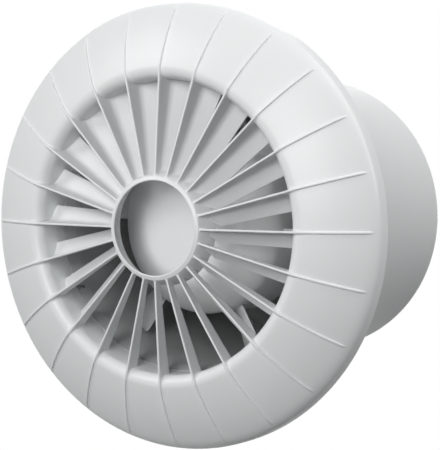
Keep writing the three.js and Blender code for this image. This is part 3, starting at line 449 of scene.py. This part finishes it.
for turn in CLIP_TURNS:
    bpy.ops.object.select_all(action="DESELECT")
    clip = box_at(turn, CLIP_R, CLIP_R + CLIP_WALL, CLIP_ROOT, FLANGE_BACK + GAP, CLIP_WIDTH, edit=True)
    bpy.ops.mesh.select_all(action="DESELECT")
    bpy.ops.object.mode_set(mode="OBJECT")
    for face in clip.data.polygons:
        face.select = face.normal.y > 0.5
    bpy.ops.object.mode_set(mode="EDIT")
    bpy.ops.mesh.extrude_region_move(TRANSFORM_OT_translate={"value": (0, CLIP_BARB * MM, 0)})
    outwards = Vector((math.sin(math.radians(turn)), 0, math.cos(math.radians(turn))))
    bpy.ops.mesh.select_all(action="DESELECT")
    bpy.ops.object.mode_set(mode="OBJECT")
    for face in clip.data.polygons:
        face.select = face.normal.z > 0.5 and face.center.y > 0.5
    bpy.ops.object.mode_set(mode="EDIT")
    bpy.ops.mesh.extrude_region_move(TRANSFORM_OT_translate={"value": outwards * CLIP_BARB * MM})
    bpy.ops.mesh.select_all(action="SELECT")
    bpy.ops.mesh.bevel(offset=CLIP_EDGE * MM, segments=2)
    clip = settle(f"fascia_clip_{turn}")
    dress(clip, fascia_white, "casing", "fascia_white", "front_grille")

# ---- Housing: flange and spigot ----
# A white moulding: the flange that is screwed to the wall, and the spigot for a 125 mm duct. The
# spigot has a lead-in at its end, a ledge and pin holes for the shutter, and a groove for the motor's lead.
# Inside the duct its white is drawn in painted shade.
SPIGOT_R = 62
BORE_R = 59.5
SPIGOT_END = 114
FLANGE_R = 88
FLANGE_FRONT = -4.6
MOUTH_R = 61.1
WALL_HOLE_TURNS = [35, 125, 215, 305]
WALL_HOLE_R = 2.5
WALL_HOLE_PITCH_R = 83
GROMMET_TURN = 275
GROMMET_PITCH_R = 77
GROMMET_HOLE_R = 6.3
CLAMP_TURN = 259
CLAMP_PITCH_R = 73
CLAMP_HOLE_R = 1.7
CLAMP_HOLE_SHIFTS = (-6, 6)
STRUT_TURN = 240
COVER_HOLE_R = 1.6
COVER_HOLE_PITCH_R = 74.5
COVER_HOLE_SHIFT = -13.5
LEAD_SHIFT = 2.6
LEAD_TURN_AT = 52
LEAD_BEND = 3.8
LEAD_ROOM = 2.2
LEAD_GROOVE_R = 60.1
LEAD_WINDOW_R = 57
PAST = 1
PIN_AT = 101
PIN_BORE_R = 1.8
PIN_HOLE_DEPTH = 3
SEAT_FACE = 98.7
SEAT_R = 57
ALONG_AXIS = (1, 0.06, 1)
# Painted shade inside the duct: from 61.6 mm inwards the housing's white darkens to a 0.62 share inside 61.15
# mm, which greys the bore, the motor cup, its struts, the pin bosses and the flaps.
BORE_PAINTED_SHADE = (61.6, 61.15, 0.62)

housing_white = moulded_plastic(
    "housing_white", SHELL_WHITE, 0.38, 0.1, draw=ALONG_AXIS, painted_shade=BORE_PAINTED_SHADE)


def cut(piece, cutters, operation="DIFFERENCE"):
    """Joins the cutters to one, and takes them out of the piece, or adds them to it."""
    bpy.ops.object.select_all(action="DESELECT")
    for cutter in cutters:
        cutter.select_set(True)
    bpy.context.view_layer.objects.active = cutters[0]
    bpy.ops.object.join()
    tool = bpy.context.object
    bpy.ops.object.select_all(action="DESELECT")
    piece.select_set(True)
    bpy.context.view_layer.objects.active = piece
    taken = piece.modifiers.new("cut", "BOOLEAN")
    taken.operation = operation
    taken.solver = "EXACT"
    taken.use_self = True
    taken.object = tool
    bpy.ops.object.modifier_apply(modifier="cut")
    bpy.data.objects.remove(tool)
    bpy.ops.object.shade_smooth_by_angle(angle=math.radians(35))
    return piece


def rod_at(turn, pitch_r, radius, y0, y1, shift=0, sides=32):
    """A round bar along the axis, standing at one radius and angle."""
    middle = Matrix.Rotation(math.radians(turn), 3, "Y") @ Vector((shift, (y0 + y1) / 2, pitch_r))
    bpy.ops.mesh.primitive_cylinder_add(
        vertices=sides, radius=radius * MM, depth=(y1 - y0) * MM, location=middle * MM,
        rotation=(math.pi / 2, 0, 0))
    return bpy.context.object


def pin_rod(radius, z0, z1, sides=48):
    """A round bar along the shutter's upright pin."""
    bpy.ops.mesh.primitive_cylinder_add(
        vertices=sides, radius=radius * MM, depth=(z1 - z0) * MM,
        location=(0, PIN_AT * MM, (z0 + z1) / 2 * MM))
    return bpy.context.object


spigot = turned("duct_spigot", [
    (r, -y) for r, y in (
        (MOUTH_R, FLANGE_FRONT), (BORE_R + 0.1, FLANGE_FRONT + 5.6), (BORE_R, FLANGE_FRONT + 6.4),
        (BORE_R, SEAT_FACE - 4.3), (BORE_R - 0.15, SEAT_FACE - 4), (SEAT_R + 0.3, SEAT_FACE - 1.75),
        (SEAT_R, SEAT_FACE - 1.4), (SEAT_R, SEAT_FACE - 0.3), (SEAT_R + 0.3, SEAT_FACE), (BORE_R, SEAT_FACE),
        (BORE_R, SPIGOT_END - 0.6), (BORE_R + 0.3, SPIGOT_END - 0.1), (BORE_R + 0.7, SPIGOT_END),
        (SPIGOT_R - 1.3, SPIGOT_END), (SPIGOT_R - 0.95, SPIGOT_END - 0.15),
        (SPIGOT_R - 0.5, SPIGOT_END - 0.7), (SPIGOT_R - 0.35, SPIGOT_END - 1.2),
        (SPIGOT_R - 0.3, SPIGOT_END - 2.5), (SPIGOT_R - 0.15, SPIGOT_END - 2.75),
        (SPIGOT_R, SPIGOT_END - 2.9), (SPIGOT_R, FLANGE_BACK + 0.9),
        (SPIGOT_R + 0.25, FLANGE_BACK + 0.25), (SPIGOT_R + 0.9, FLANGE_BACK), (FLANGE_R - 0.4, FLANGE_BACK),
        (FLANGE_R - 0.1, FLANGE_BACK - 0.1), (FLANGE_R, FLANGE_BACK - 0.4), (FLANGE_R, FLANGE_FRONT + 0.4),
        (FLANGE_R - 0.1, FLANGE_FRONT + 0.1), (FLANGE_R - 0.4, FLANGE_FRONT))], 192)
bpy.ops.object.select_all(action="DESELECT")
through = (FLANGE_FRONT - PAST, FLANGE_BACK + PAST)
cutters = [box_at(a, CLIP_R - GAP, CLIP_R + CLIP_WALL + CLIP_BARB + GAP, *through, CLIP_WIDTH + 2 * GAP)
           for a in CLIP_TURNS]
cutters += [rod_at(a, WALL_HOLE_PITCH_R, WALL_HOLE_R, *through) for a in WALL_HOLE_TURNS]
cutters += [rod_at(GROMMET_TURN, GROMMET_PITCH_R, GROMMET_HOLE_R, *through)]
cutters += [rod_at(CLAMP_TURN, CLAMP_PITCH_R, CLAMP_HOLE_R, *through, shift) for shift in CLAMP_HOLE_SHIFTS]
cutters += [rod_at(STRUT_TURN, COVER_HOLE_PITCH_R, COVER_HOLE_R, *through, COVER_HOLE_SHIFT)]
lead_window = (LEAD_TURN_AT - LEAD_BEND, LEAD_TURN_AT + LEAD_ROOM / 2)
cutters += [box_at(STRUT_TURN, LEAD_GROOVE_R, SPIGOT_R + PAST, FLANGE_FRONT - PAST, lead_window[1],
                   LEAD_ROOM, LEAD_SHIFT)]
cutters += [box_at(STRUT_TURN, LEAD_WINDOW_R, SPIGOT_R + PAST, *lead_window, LEAD_ROOM, LEAD_SHIFT)]
cutters += [pin_rod(PIN_BORE_R, BORE_R - PIN_HOLE_DEPTH, SPIGOT_R + PAST),
            pin_rod(PIN_BORE_R, -SPIGOT_R - PAST, PIN_HOLE_DEPTH - BORE_R)]
cut(spigot, cutters)
dress(spigot, housing_white, "casing", "housing_white", "duct_housing")

# ---- Housing: motor cup and its struts ----
# The same moulding carries the motor: a cup with a closed back, on three thin radial struts. The motor
# is screwed to that back from behind, on three rubber bushes.
CUP_R = 33.4
CUP_START = 44
CUP_BACK = 68
CUP_BORE_R = 31.2
BULKHEAD_WALL = 2.5
BULKHEAD_HOLE_R = 7
MOUNT_TURNS = [300, 60, 180]
MOUNT_PITCH_R = 18
MOUNT_HOLE_R = 2
CUP_SLOT = (30, 35)
STRUTS = 3

cup = turned("motor_cup", [
    (r, -y) for r, y in (
        (BULKHEAD_HOLE_R, CUP_BACK - BULKHEAD_WALL), (CUP_BORE_R, CUP_BACK - BULKHEAD_WALL),
        (CUP_BORE_R, CUP_START + 0.5), (CUP_BORE_R + 0.5, CUP_START), (CUP_R - 0.5, CUP_START),
        (CUP_R, CUP_START + 0.5), (CUP_R, CUP_BACK - 1.6), (CUP_R - 0.25, CUP_BACK - 0.75),
        (CUP_R - 0.85, CUP_BACK - 0.2), (CUP_R - 1.6, CUP_BACK), (BULKHEAD_HOLE_R + 0.5, CUP_BACK),
        (BULKHEAD_HOLE_R + 0.1, CUP_BACK - 0.15), (BULKHEAD_HOLE_R, CUP_BACK - 0.5))], 128)
bpy.ops.object.select_all(action="DESELECT")
cutters = [rod_at(a, MOUNT_PITCH_R, MOUNT_HOLE_R, CUP_BACK - 4, CUP_BACK + PAST) for a in MOUNT_TURNS]
cutters += [box_at(STRUT_TURN, *CUP_SLOT, *lead_window, LEAD_ROOM, LEAD_SHIFT)]
cut(cup, cutters)
dress(cup, housing_white, "casing", "housing_white", "duct_housing")

STRUT_WALL = 3


def strut_ring(radius, spread):
    """A section of a strut at one radius, a rounded bar thickened by its fillet."""
    half = STRUT_WALL / 2 + spread
    y0, y1 = CUP_START + 0.3, CUP_BACK - 0.3
    corners = [(-half + 0.1, y0 + 0.35), (-half + 0.35, y0 + 0.1), (half - 0.35, y0 + 0.1),
               (half - 0.1, y0 + 0.35), (half - 0.1, y1 - 0.35), (half - 0.35, y1 - 0.1),
               (-half + 0.35, y1 - 0.1), (-half + 0.1, y1 - 0.35)]
    return [(across, y, math.sqrt(radius ** 2 - across ** 2)) for across, y in corners]


strut_stations = [
    (32.9, 2), (33.5, 1.3), (34.1, 0.6), (34.8, 0.15), (35.6, 0), (46, 0), (57.4, 0), (58.2, 0.15),
    (58.8, 0.6), (59.4, 1.3), (60, 2)]
strut = lofted("motor_struts", [strut_ring(*s) for s in strut_stations])
repeat_around(strut, STRUTS)
dress(strut, housing_white, "casing", "housing_white", "duct_housing")

# ---- Impeller hub ----
# White moulding that fills the ring from behind: a flat nose with a round edge, a deep skirt that
# hides the motor, and a boss inside that is clamped on the shaft.
HUB_FACE_R = 19.5
NOSE_KNEE = (28, 1.8)
HUB_R = 38.4
HUB_NOSE = 12
NOSE_ROUNDING = (HUB_FACE_R + 4.6, 0)
SIDE_ROUNDING = (HUB_R - 1.2, 6)
HUB_TAIL_R = 38.9
HUB_DEPTH = 38
HUB_WALL = 2
BOSS_R = 6.5
BOSS_END = 13
BOSS_BORE_R = 3.3
BOSS_FLOOR = 3.7
# Painted light and shade: the impeller's white is lighter than the fascia's, partly painted light on its lit
# nose, and from 21.5 to 27 mm off the axis it fades to painted shade at a 0.8 share over the rest and the
# blades.
NOSE_PAINTED_SHADE = (21.5, 27, 0.8)

impeller_white = moulded_plastic("impeller_white", (0.9, 0.91, 0.915), 0.34, painted_shade=NOSE_PAINTED_SHADE)
nose = [(HUB_FACE_R, 0), *bezier((HUB_FACE_R, 0), NOSE_ROUNDING, NOSE_KNEE, 8)]
nose += bezier(NOSE_KNEE, SIDE_ROUNDING, (HUB_R, HUB_NOSE), 8)
hub_skin = [*nose, (HUB_TAIL_R - 0.1, HUB_DEPTH - 0.4)]
hub_inside = offset([*nose, (HUB_TAIL_R, HUB_DEPTH - 0.2)], HUB_WALL)
hub = turned("impeller_hub", [
    (r, -y) for r, y in (
        (0, 0), *hub_skin, (HUB_TAIL_R - 0.5, HUB_DEPTH), *reversed(hub_inside[1:]),
        (HUB_FACE_R, HUB_WALL), (BOSS_R, HUB_WALL), (BOSS_R, BOSS_END - 0.3), (BOSS_R - 0.3, BOSS_END),
        (BOSS_BORE_R, BOSS_END), (BOSS_BORE_R, BOSS_FLOOR), (0, BOSS_FLOOR))], 128)
dress(hub, impeller_white, "rotating", "impeller_white", "impeller")

# ---- Impeller blades ----
# Six twisted, cambered blades in one with the hub, with round corners and a fillet at the root.
BLADES = 6
BLADE_TURN = math.radians(41)
BLADE_WALL = 1.6
BLADE_MIDDLE = 23
BLADE_CHORD = (23, 28)
BLADE_PITCH = (math.radians(57), math.radians(44))
BLADE_CAMBER = 0.09
BLADE_TIP_R = 58.3
BLADE_ROUNDING = 0.3
BLADE_CORNER = 8


def blade_ring(t, spread):
    """A closed section of a blade at a share of its span, rolled on its own cylinder."""
    radius = mix(HUB_R - 0.8, BLADE_TIP_R, t)
    chord = mix(*BLADE_CHORD, t) * (1 - BLADE_ROUNDING * t ** BLADE_CORNER)
    pitch = mix(*BLADE_PITCH, t)
    middle = []
    for k in range(13):
        u = k / 12 - 0.5
        along, lift = chord * u, chord * BLADE_CAMBER * (1 - 4 * u * u)
        middle.append((along * math.sin(pitch) - lift * math.cos(pitch),
                       along * math.cos(pitch) + lift * math.sin(pitch)))
    half = BLADE_WALL / 2 + spread
    outline = [*offset(middle, half)[1:-1]]
    outline += [middle[-1], *reversed(offset(middle, -half)[1:-1]), middle[0]]
    points = []
    for y, across in outline:
        turn = BLADE_TURN + across / radius
        points.append((radius * math.sin(turn), BLADE_MIDDLE + y, radius * math.cos(turn)))
    return points


blade_stations = [
    (0, 1.4), (0.04, 1.2), (0.055, 0.7), (0.08, 0.32), (0.11, 0.1), (0.15, 0), (0.3, 0), (0.5, -0.05),
    (0.65, -0.1), (0.75, -0.12), (0.82, -0.14), (0.88, -0.16), (0.93, -0.18), (0.97, -0.2), (0.992, -0.26),
    (1, -0.45)]
blades = repeat_around(lofted("impeller_blades", [blade_ring(*s) for s in blade_stations], 50), BLADES)
dress(blades, impeller_white, "rotating", "impeller_white", "impeller")

# ---- Gasket ----
# A foam ring, pressed between the flange and the wall.
GASKET_INNER_R = 63
GASKET_OUTER_R = 69
GASKET_WALL = 1.8


def matt(name, dark, light, roughness, scale, depth):
    """Rubber, foam and cable sheath: a dull skin with small pores or scuffs."""
    material, tree, shader = finish(name, IOR=1.5)
    place = place_on_piece(tree)
    pores = noise(place, scale, 3, 0.6)
    scuffs = noise(place, scale / 12, 2)
    wire(tree, shader, tint(scuffs * 0.6 + pores * 0.4, dark, light), roughness + 0.08 * scuffs, pores, depth)
    return material


foam = matt("foam", (0.11, 0.115, 0.12), (0.2, 0.21, 0.215), 0.86, 1400, 0.0002)
gasket = turned("foam_gasket", [
    (GASKET_INNER_R, 0.3), (GASKET_INNER_R + 0.3, 0), (GASKET_OUTER_R - 0.3, 0), (GASKET_OUTER_R, 0.3),
    (GASKET_OUTER_R, GASKET_WALL - 0.3), (GASKET_OUTER_R - 0.3, GASKET_WALL),
    (GASKET_INNER_R + 0.3, GASKET_WALL), (GASKET_INNER_R, GASKET_WALL - 0.3)], 144)
dress(gasket, foam, "casing", "foam", "wall_gasket")

# ---- Motor shaft ----
# Ground steel rod, chamfered at both ends. Its rear end shows through the hole of the cup.


def metal(name, dark, light, roughness, stretch, scale, depth, metallic=1.0):
    """Steel, alloy and copper: bright metal with cloudy tarnish and the marks of its making."""
    material, tree, shader = finish(name, Metallic=metallic)
    marks = noise(place_on_piece(tree, stretch), scale, 3, 0.6)
    clouds = noise(place_on_piece(tree), 90, 3)
    wire(tree, shader, tint(clouds * 0.6 + marks * 0.4, dark, light),
         roughness + 0.14 * clouds + 0.06 * marks, marks, depth)
    return material


SHAFT_R = 3
SHAFT_START = 4
SHAFT_END = 61
SHAFT_CHAMFER = 0.4
ground_steel = metal("ground_steel", (0.5, 0.51, 0.52), (0.68, 0.69, 0.7), 0.2, (1, 60, 1), 60, 0.000004)
shaft = turned("motor_shaft_bar", [
    (r, -y) for r, y in (
        (0, SHAFT_START), (SHAFT_R - SHAFT_CHAMFER, SHAFT_START), (SHAFT_R, SHAFT_START + SHAFT_CHAMFER),
        (SHAFT_R, SHAFT_END - SHAFT_CHAMFER), (SHAFT_R - SHAFT_CHAMFER, SHAFT_END), (0, SHAFT_END))], 48)
dress(shaft, ground_steel, "rotating", "steel", "motor_shaft")

# ---- Mounting screws ----
# Three zinc-plated pan-head screws with a cross recess. They hold the motor on the back of the cup.
SCREW_LINE = [(0, 9.5), (1.4, 9.5), (1.7, 9), (1.7, 0.02), (3.4, 0), (3.4, -0.9), (3.2, -1.45), (2.7, -1.85),
              (1.8, -2.1), (0, -2.2)]
SCREW_SEAT = CUP_BACK + GAP
RECESS_R = 1.9
RECESS_WIDTH = 0.75
RECESS_SPAN = (SCREW_SEAT + 1, SCREW_SEAT + 3)
zinc = metal("zinc_plate", (0.52, 0.54, 0.56), (0.7, 0.71, 0.7), 0.3, (1, 1, 1), 900, 0.00001)
for number, turn in enumerate(MOUNT_TURNS, 1):
    screw = turned(f"pan_head_screw_{number}", [(r, h - SCREW_SEAT) for r, h in SCREW_LINE], 40)
    bpy.ops.object.select_all(action="DESELECT")
    cut(screw, [box_at(cross_turn, -RECESS_R, RECESS_R, *RECESS_SPAN, RECESS_WIDTH)
                for cross_turn in (turn, turn + 90)])
    screw.location = Matrix.Rotation(math.radians(turn), 3, "Y") @ Vector((0, 0, MOUNT_PITCH_R * MM))
    bpy.ops.object.transform_apply(location=True, rotation=True, scale=True)
    dress(screw, zinc, "casing", "steel", f"mount_screw_{number}")

# ---- Back-draught shutter: bosses, pin and springs ----
# A ground steel pin stands upright in two bosses of the spigot. Two coil springs of steel wire in its
# middle shut the flaps.
PIN_R = 1.5
PIN_END = 61.6
PIN_EDGE = 0.25
PIN_BOSS_R = 3.2
PIN_BOSS_END = 60.2
PIN_BOSS_EDGE = 0.3
KNUCKLE_END = 55
SPRING_ROOM = 11
WIRE_R = 0.4
SPRING_TURNS = 5
SPRING_PITCH = 0.86


def ease_ends(piece, size):
    """Rounds the two end edges of an upright bar."""
    bpy.ops.object.mode_set(mode="OBJECT")
    for face in piece.data.polygons:
        face.select = abs(face.normal.z) > 0.9
    bpy.ops.object.mode_set(mode="EDIT")
    bpy.ops.mesh.select_mode(type="EDGE")
    bpy.ops.mesh.bevel(offset=size * MM, segments=3)
    bpy.ops.mesh.select_mode(type="VERT")


for name, z0, z1 in (("upper", KNUCKLE_END + GAP, PIN_BOSS_END),
                     ("lower", -PIN_BOSS_END, -KNUCKLE_END - GAP)):
    bpy.ops.object.select_all(action="DESELECT")
    boss = pin_rod(PIN_BOSS_R, z0, z1)
    bpy.ops.object.mode_set(mode="EDIT")
    ease_ends(boss, PIN_BOSS_EDGE)
    boss = settle(f"pin_boss_{name}")
    bpy.ops.object.select_all(action="DESELECT")
    cut(boss, [pin_rod(PIN_BORE_R, z0 - 1, z1 + 1)])
    dress(boss, housing_white, "casing", "housing_white", "duct_housing")

bpy.ops.object.select_all(action="DESELECT")
pin = pin_rod(PIN_R, -PIN_END, PIN_END)
bpy.ops.object.mode_set(mode="EDIT")
ease_ends(pin, PIN_EDGE)
dress(settle("hinge_pin"), ground_steel, "casing", "steel", "shutter_pin")

for name, start in (("left", -WIRE_R - SPRING_TURNS * SPRING_PITCH), ("right", WIRE_R)):
    bpy.ops.object.select_all(action="DESELECT")
    bpy.ops.mesh.primitive_circle_add(
        vertices=10, radius=WIRE_R * MM, location=(0, PIN_AT * MM, start * MM), rotation=(math.pi / 2, 0, 0))
    spring = bpy.context.object
    bpy.ops.object.transform_apply(location=False, rotation=True, scale=True)
    bpy.ops.object.mode_set(mode="EDIT")
    bpy.ops.transform.translate(value=((PIN_BORE_R + WIRE_R) * MM, 0, 0))
    bpy.ops.object.mode_set(mode="OBJECT")
    coil = spring.modifiers.new("coil", "SCREW")
    coil.axis = "Z"
    coil.screw_offset = SPRING_PITCH * MM
    coil.iterations = SPRING_TURNS
    coil.steps = coil.render_steps = 28
    bpy.ops.object.modifier_apply(modifier="coil")
    bpy.ops.object.mode_set(mode="EDIT")
    bpy.ops.mesh.select_all(action="SELECT")
    bpy.ops.mesh.fill_holes(sides=0)
    dress(settle(f"coil_spring_{name}"), ground_steel, "casing", "steel", f"flap_spring_{name}")

# ---- Back-draught shutter: flaps ----
# Two thin half-round mouldings that close the spigot. Their knuckles take turns on the pin, and each
# flap is cut away round the other's.
FLAP_R = 58.3
FLAP_BACK = 100
FLAP_WALL = 1
FLAP_EDGE = 0.18
KNUCKLE_R = 2.9
KNUCKLES = 3


def knuckle_rods(radius, side, grow):
    """Bars along the pin where the knuckles of one side's flap sit."""
    pitch = (KNUCKLE_END - SPRING_ROOM / 2) / KNUCKLES
    rods = []
    for half in (-1, 1):
        for k in range(KNUCKLES):
            if ((half > 0) == (k % 2 == 0)) == (side > 0):
                z0, z1 = sorted(half * (SPRING_ROOM / 2 + n * pitch) for n in (k, k + 1))
                rods.append(pin_rod(radius, z0 - grow, z1 + grow))
    return rods


for name, side in (("left", -1), ("right", 1)):
    bpy.ops.object.select_all(action="DESELECT")
    bpy.ops.mesh.primitive_cylinder_add(
        vertices=160, radius=FLAP_R * MM, depth=FLAP_WALL * MM,
        location=(0, (FLAP_BACK - FLAP_WALL / 2) * MM, 0), rotation=(math.pi / 2, 0, 0), enter_editmode=True)
    bpy.ops.mesh.select_all(action="SELECT")
    bpy.ops.mesh.bisect(plane_co=(side * GAP / 2 * MM, 0, 0), plane_no=(side, 0, 0), use_fill=True,
                        clear_inner=True)
    flap = settle(f"half_round_flap_{name}")
    bpy.ops.object.select_all(action="DESELECT")
    rooms = knuckle_rods(KNUCKLE_R + GAP, -side, GAP / 2)
    rooms += [pin_rod(KNUCKLE_R + GAP, -SPRING_ROOM / 2, SPRING_ROOM / 2)]
    rooms += [pin_rod(PIN_BOSS_R + GAP, KNUCKLE_END, SPIGOT_R),
              pin_rod(PIN_BOSS_R + GAP, -SPIGOT_R, -KNUCKLE_END)]
    cut(flap, rooms)
    bpy.ops.object.select_all(action="DESELECT")
    cut(flap, knuckle_rods(KNUCKLE_R, side, -GAP / 2), "UNION")
    bpy.ops.object.select_all(action="DESELECT")
    cut(flap, [pin_rod(PIN_BORE_R, -SPIGOT_R, SPIGOT_R)])
    eased = flap.modifiers.new("eased", "BEVEL")
    eased.width = FLAP_EDGE * MM
    eased.segments = 2
    eased.limit_method = "ANGLE"
    eased.angle_limit = math.radians(50)
    bpy.ops.object.modifier_apply(modifier="eased")
    bpy.ops.object.shade_smooth_by_angle(angle=math.radians(35))
    dress(flap, housing_white, f"flap_{name}", "housing_white", f"shutter_flap_{name}")

# ---- Cable grommet ----
# Black rubber, buttoned in the flange where the mains cable comes in from the wall.
rubber = matt("rubber", (0.03, 0.03, 0.032), (0.06, 0.06, 0.065), 0.62, 900, 0.00003)
grommet = turned("cable_grommet_ring", [
    (3.5, 5.9), (3.8, 6.1), (7.1, 6.1), (7.5, 5.7), (7.5, 5.1), (7.3, 4.9), (6, 4.9), (6, 2.1), (3.9, 2.1),
    (3.5, 2.5)], 48)
grommet.location = (
    Matrix.Rotation(math.radians(GROMMET_TURN), 3, "Y") @ Vector((0, 0, GROMMET_PITCH_R * MM)))
bpy.ops.object.transform_apply(location=True, rotation=True, scale=True)
dress(grommet, rubber, "casing", "rubber", "cable_grommet")

# ---- Motor and wiring ----
# Ball-bearing motor of die-cast shells, a laminated stack, copper coils and plastic formers, with
# its small screws, bushes, terminals and lead. These pieces keep their shapes and get their finish.
lamination = metal(
    "lamination", (0.16, 0.165, 0.17), (0.3, 0.305, 0.31), 0.42, (1, 40, 1), 50, 0.00003, 0.8)
cast_alloy = metal("cast_alloy", (0.5, 0.51, 0.52), (0.64, 0.65, 0.66), 0.42, (1, 1, 1), 1500, 0.00003)
copper = metal("copper_winding", (0.42, 0.16, 0.07), (0.62, 0.29, 0.14), 0.3, (1, 8, 1), 300, 0.00006, 0.85)
former_plastic = matt("former_plastic", (0.02, 0.035, 0.03), (0.035, 0.055, 0.045), 0.5, 1200, 0.00001)
terminal_plastic = matt("terminal_plastic", (0.62, 0.6, 0.52), (0.7, 0.68, 0.6), 0.45, 1200, 0.00001)
lead_sheath = matt("lead_sheath", (0.3, 0.31, 0.33), (0.38, 0.4, 0.42), 0.5, 1500, 0.00001)
carried = {
    lamination: ["rotor", "stator_core"],
    cast_alloy: ["motor_front_shell", "motor_rear_shell"],
    copper: ["stator_winding"],
    former_plastic: ["coil_former_front", "coil_former_rear"],
    terminal_plastic: ["terminal_block", "terminal_cover", "cable_clamp"],
    lead_sheath: ["motor_lead"],
    rubber: ["mount_bush_1", "mount_bush_2", "mount_bush_3"],
    ground_steel: ["front_spacer", "rear_spacer", "front_bearing", "rear_bearing", "boss_spring_ring"],
    zinc: ["motor_tie_screw_1", "motor_tie_screw_2", "motor_tie_screw_3", "terminal_screw_1",
           "terminal_screw_2", "cover_screw", "clamp_screw_1", "clamp_screw_2"],
}
for material, nodes in carried.items():
    for name in nodes:
        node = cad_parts[name]
        node.data.materials.clear()
        node.data.materials.append(material)

# ---- Camera ----
# It stands right of the fan and a little above its axis, and looks in at the ring and the vanes.
FRAME_WIDTH = 440
CAMERA_YAW = math.radians(31.47)
CAMERA_PITCH = math.radians(3.18)
FOCAL_PIXELS = 2073.9
eye = Vector((0.46709, -0.73808, 0.04857))
lens = bpy.data.cameras.new("lens")
camera = bpy.data.objects.new("camera", lens)
bpy.context.scene.collection.objects.link(camera)
camera.location = eye
camera.rotation_euler = (math.pi / 2 - CAMERA_PITCH, 0, CAMERA_YAW)
lens.sensor_fit = "HORIZONTAL"
lens.sensor_width = 36
lens.lens = 36 * FOCAL_PIXELS / FRAME_WIDTH
lens.clip_start = 0.01
bpy.context.scene.camera = camera

# ---- Floor, backdrop and lamps ----
# A pale round floor under the hanging fan, white all round for the camera, and soft studio light.
FLOOR_RADIUS = 0.6
FLOOR_PLACE = (0, 0.1, -1.1)
bpy.ops.object.select_all(action="DESELECT")
bpy.ops.mesh.primitive_circle_add(
    vertices=96, radius=FLOOR_RADIUS, fill_type="NGON", location=FLOOR_PLACE)
bpy.ops.object.transform_apply(location=True, rotation=True, scale=True)
floor = bpy.context.object
floor.name = "floor"
floor_paint, tree, shader = finish("floor_paint", Roughness=0.7)
shader.inputs["Base Color"].default_value = (0.8, 0.805, 0.81, 1)
floor.data.materials.append(floor_paint)

world = bpy.data.worlds.new("studio")
bpy.context.scene.world = world
world.use_nodes = True
tree = world.node_tree
rays = Signal(tree).node("ShaderNodeLightPath")
seen = Signal(tree, rays.socket.node.outputs["Is Camera Ray"])
for kind in ("Is Glossy Ray", "Is Transmission Ray"):
    seen = seen.maths("MAXIMUM", seen, Signal(tree, rays.socket.node.outputs[kind]))
backdrop = tree.nodes["Background"]
AMBIENT = 0.01
level = AMBIENT + (1 - AMBIENT) * seen
backdrop.inputs["Color"].default_value = (1, 1, 1, 1)
tree.links.new(level.socket, backdrop.inputs["Strength"])


LAMP_AIM = Vector((0, 0.02, 0))


def lamp(name, place, size, energy):
    """A square softbox that points at the fan's middle."""
    light = bpy.data.lights.new(name, "AREA")
    light.shape = "SQUARE"
    light.size = size
    light.energy = energy
    stand = bpy.data.objects.new(name, light)
    bpy.context.scene.collection.objects.link(stand)
    stand.location = place
    stand.rotation_euler = (LAMP_AIM - Vector(place)).to_track_quat("-Z", "Y").to_euler()
    return stand


lamp("key_softbox", (0.25, -1.17, 0.44), 0.6, 8.4)
lamp("side_softbox", (0.81, 0.39, 0.95), 0.9, 9.4)
lamp("low_softbox", (1.16, 0.4, 0.42), 0.15, 2.4)
lamp("left_softbox", (-0.71, -0.77, 0.75), 0.5, 5.4)
lamp("front_softbox", (0.23, -1.25, 0.16), 0.45, 3)
lamp("rear_softbox", (-0.5, 0.82, 0.89), 0.8, 4.4)

scene = bpy.context.scene
scene.view_settings.view_transform = "Standard"
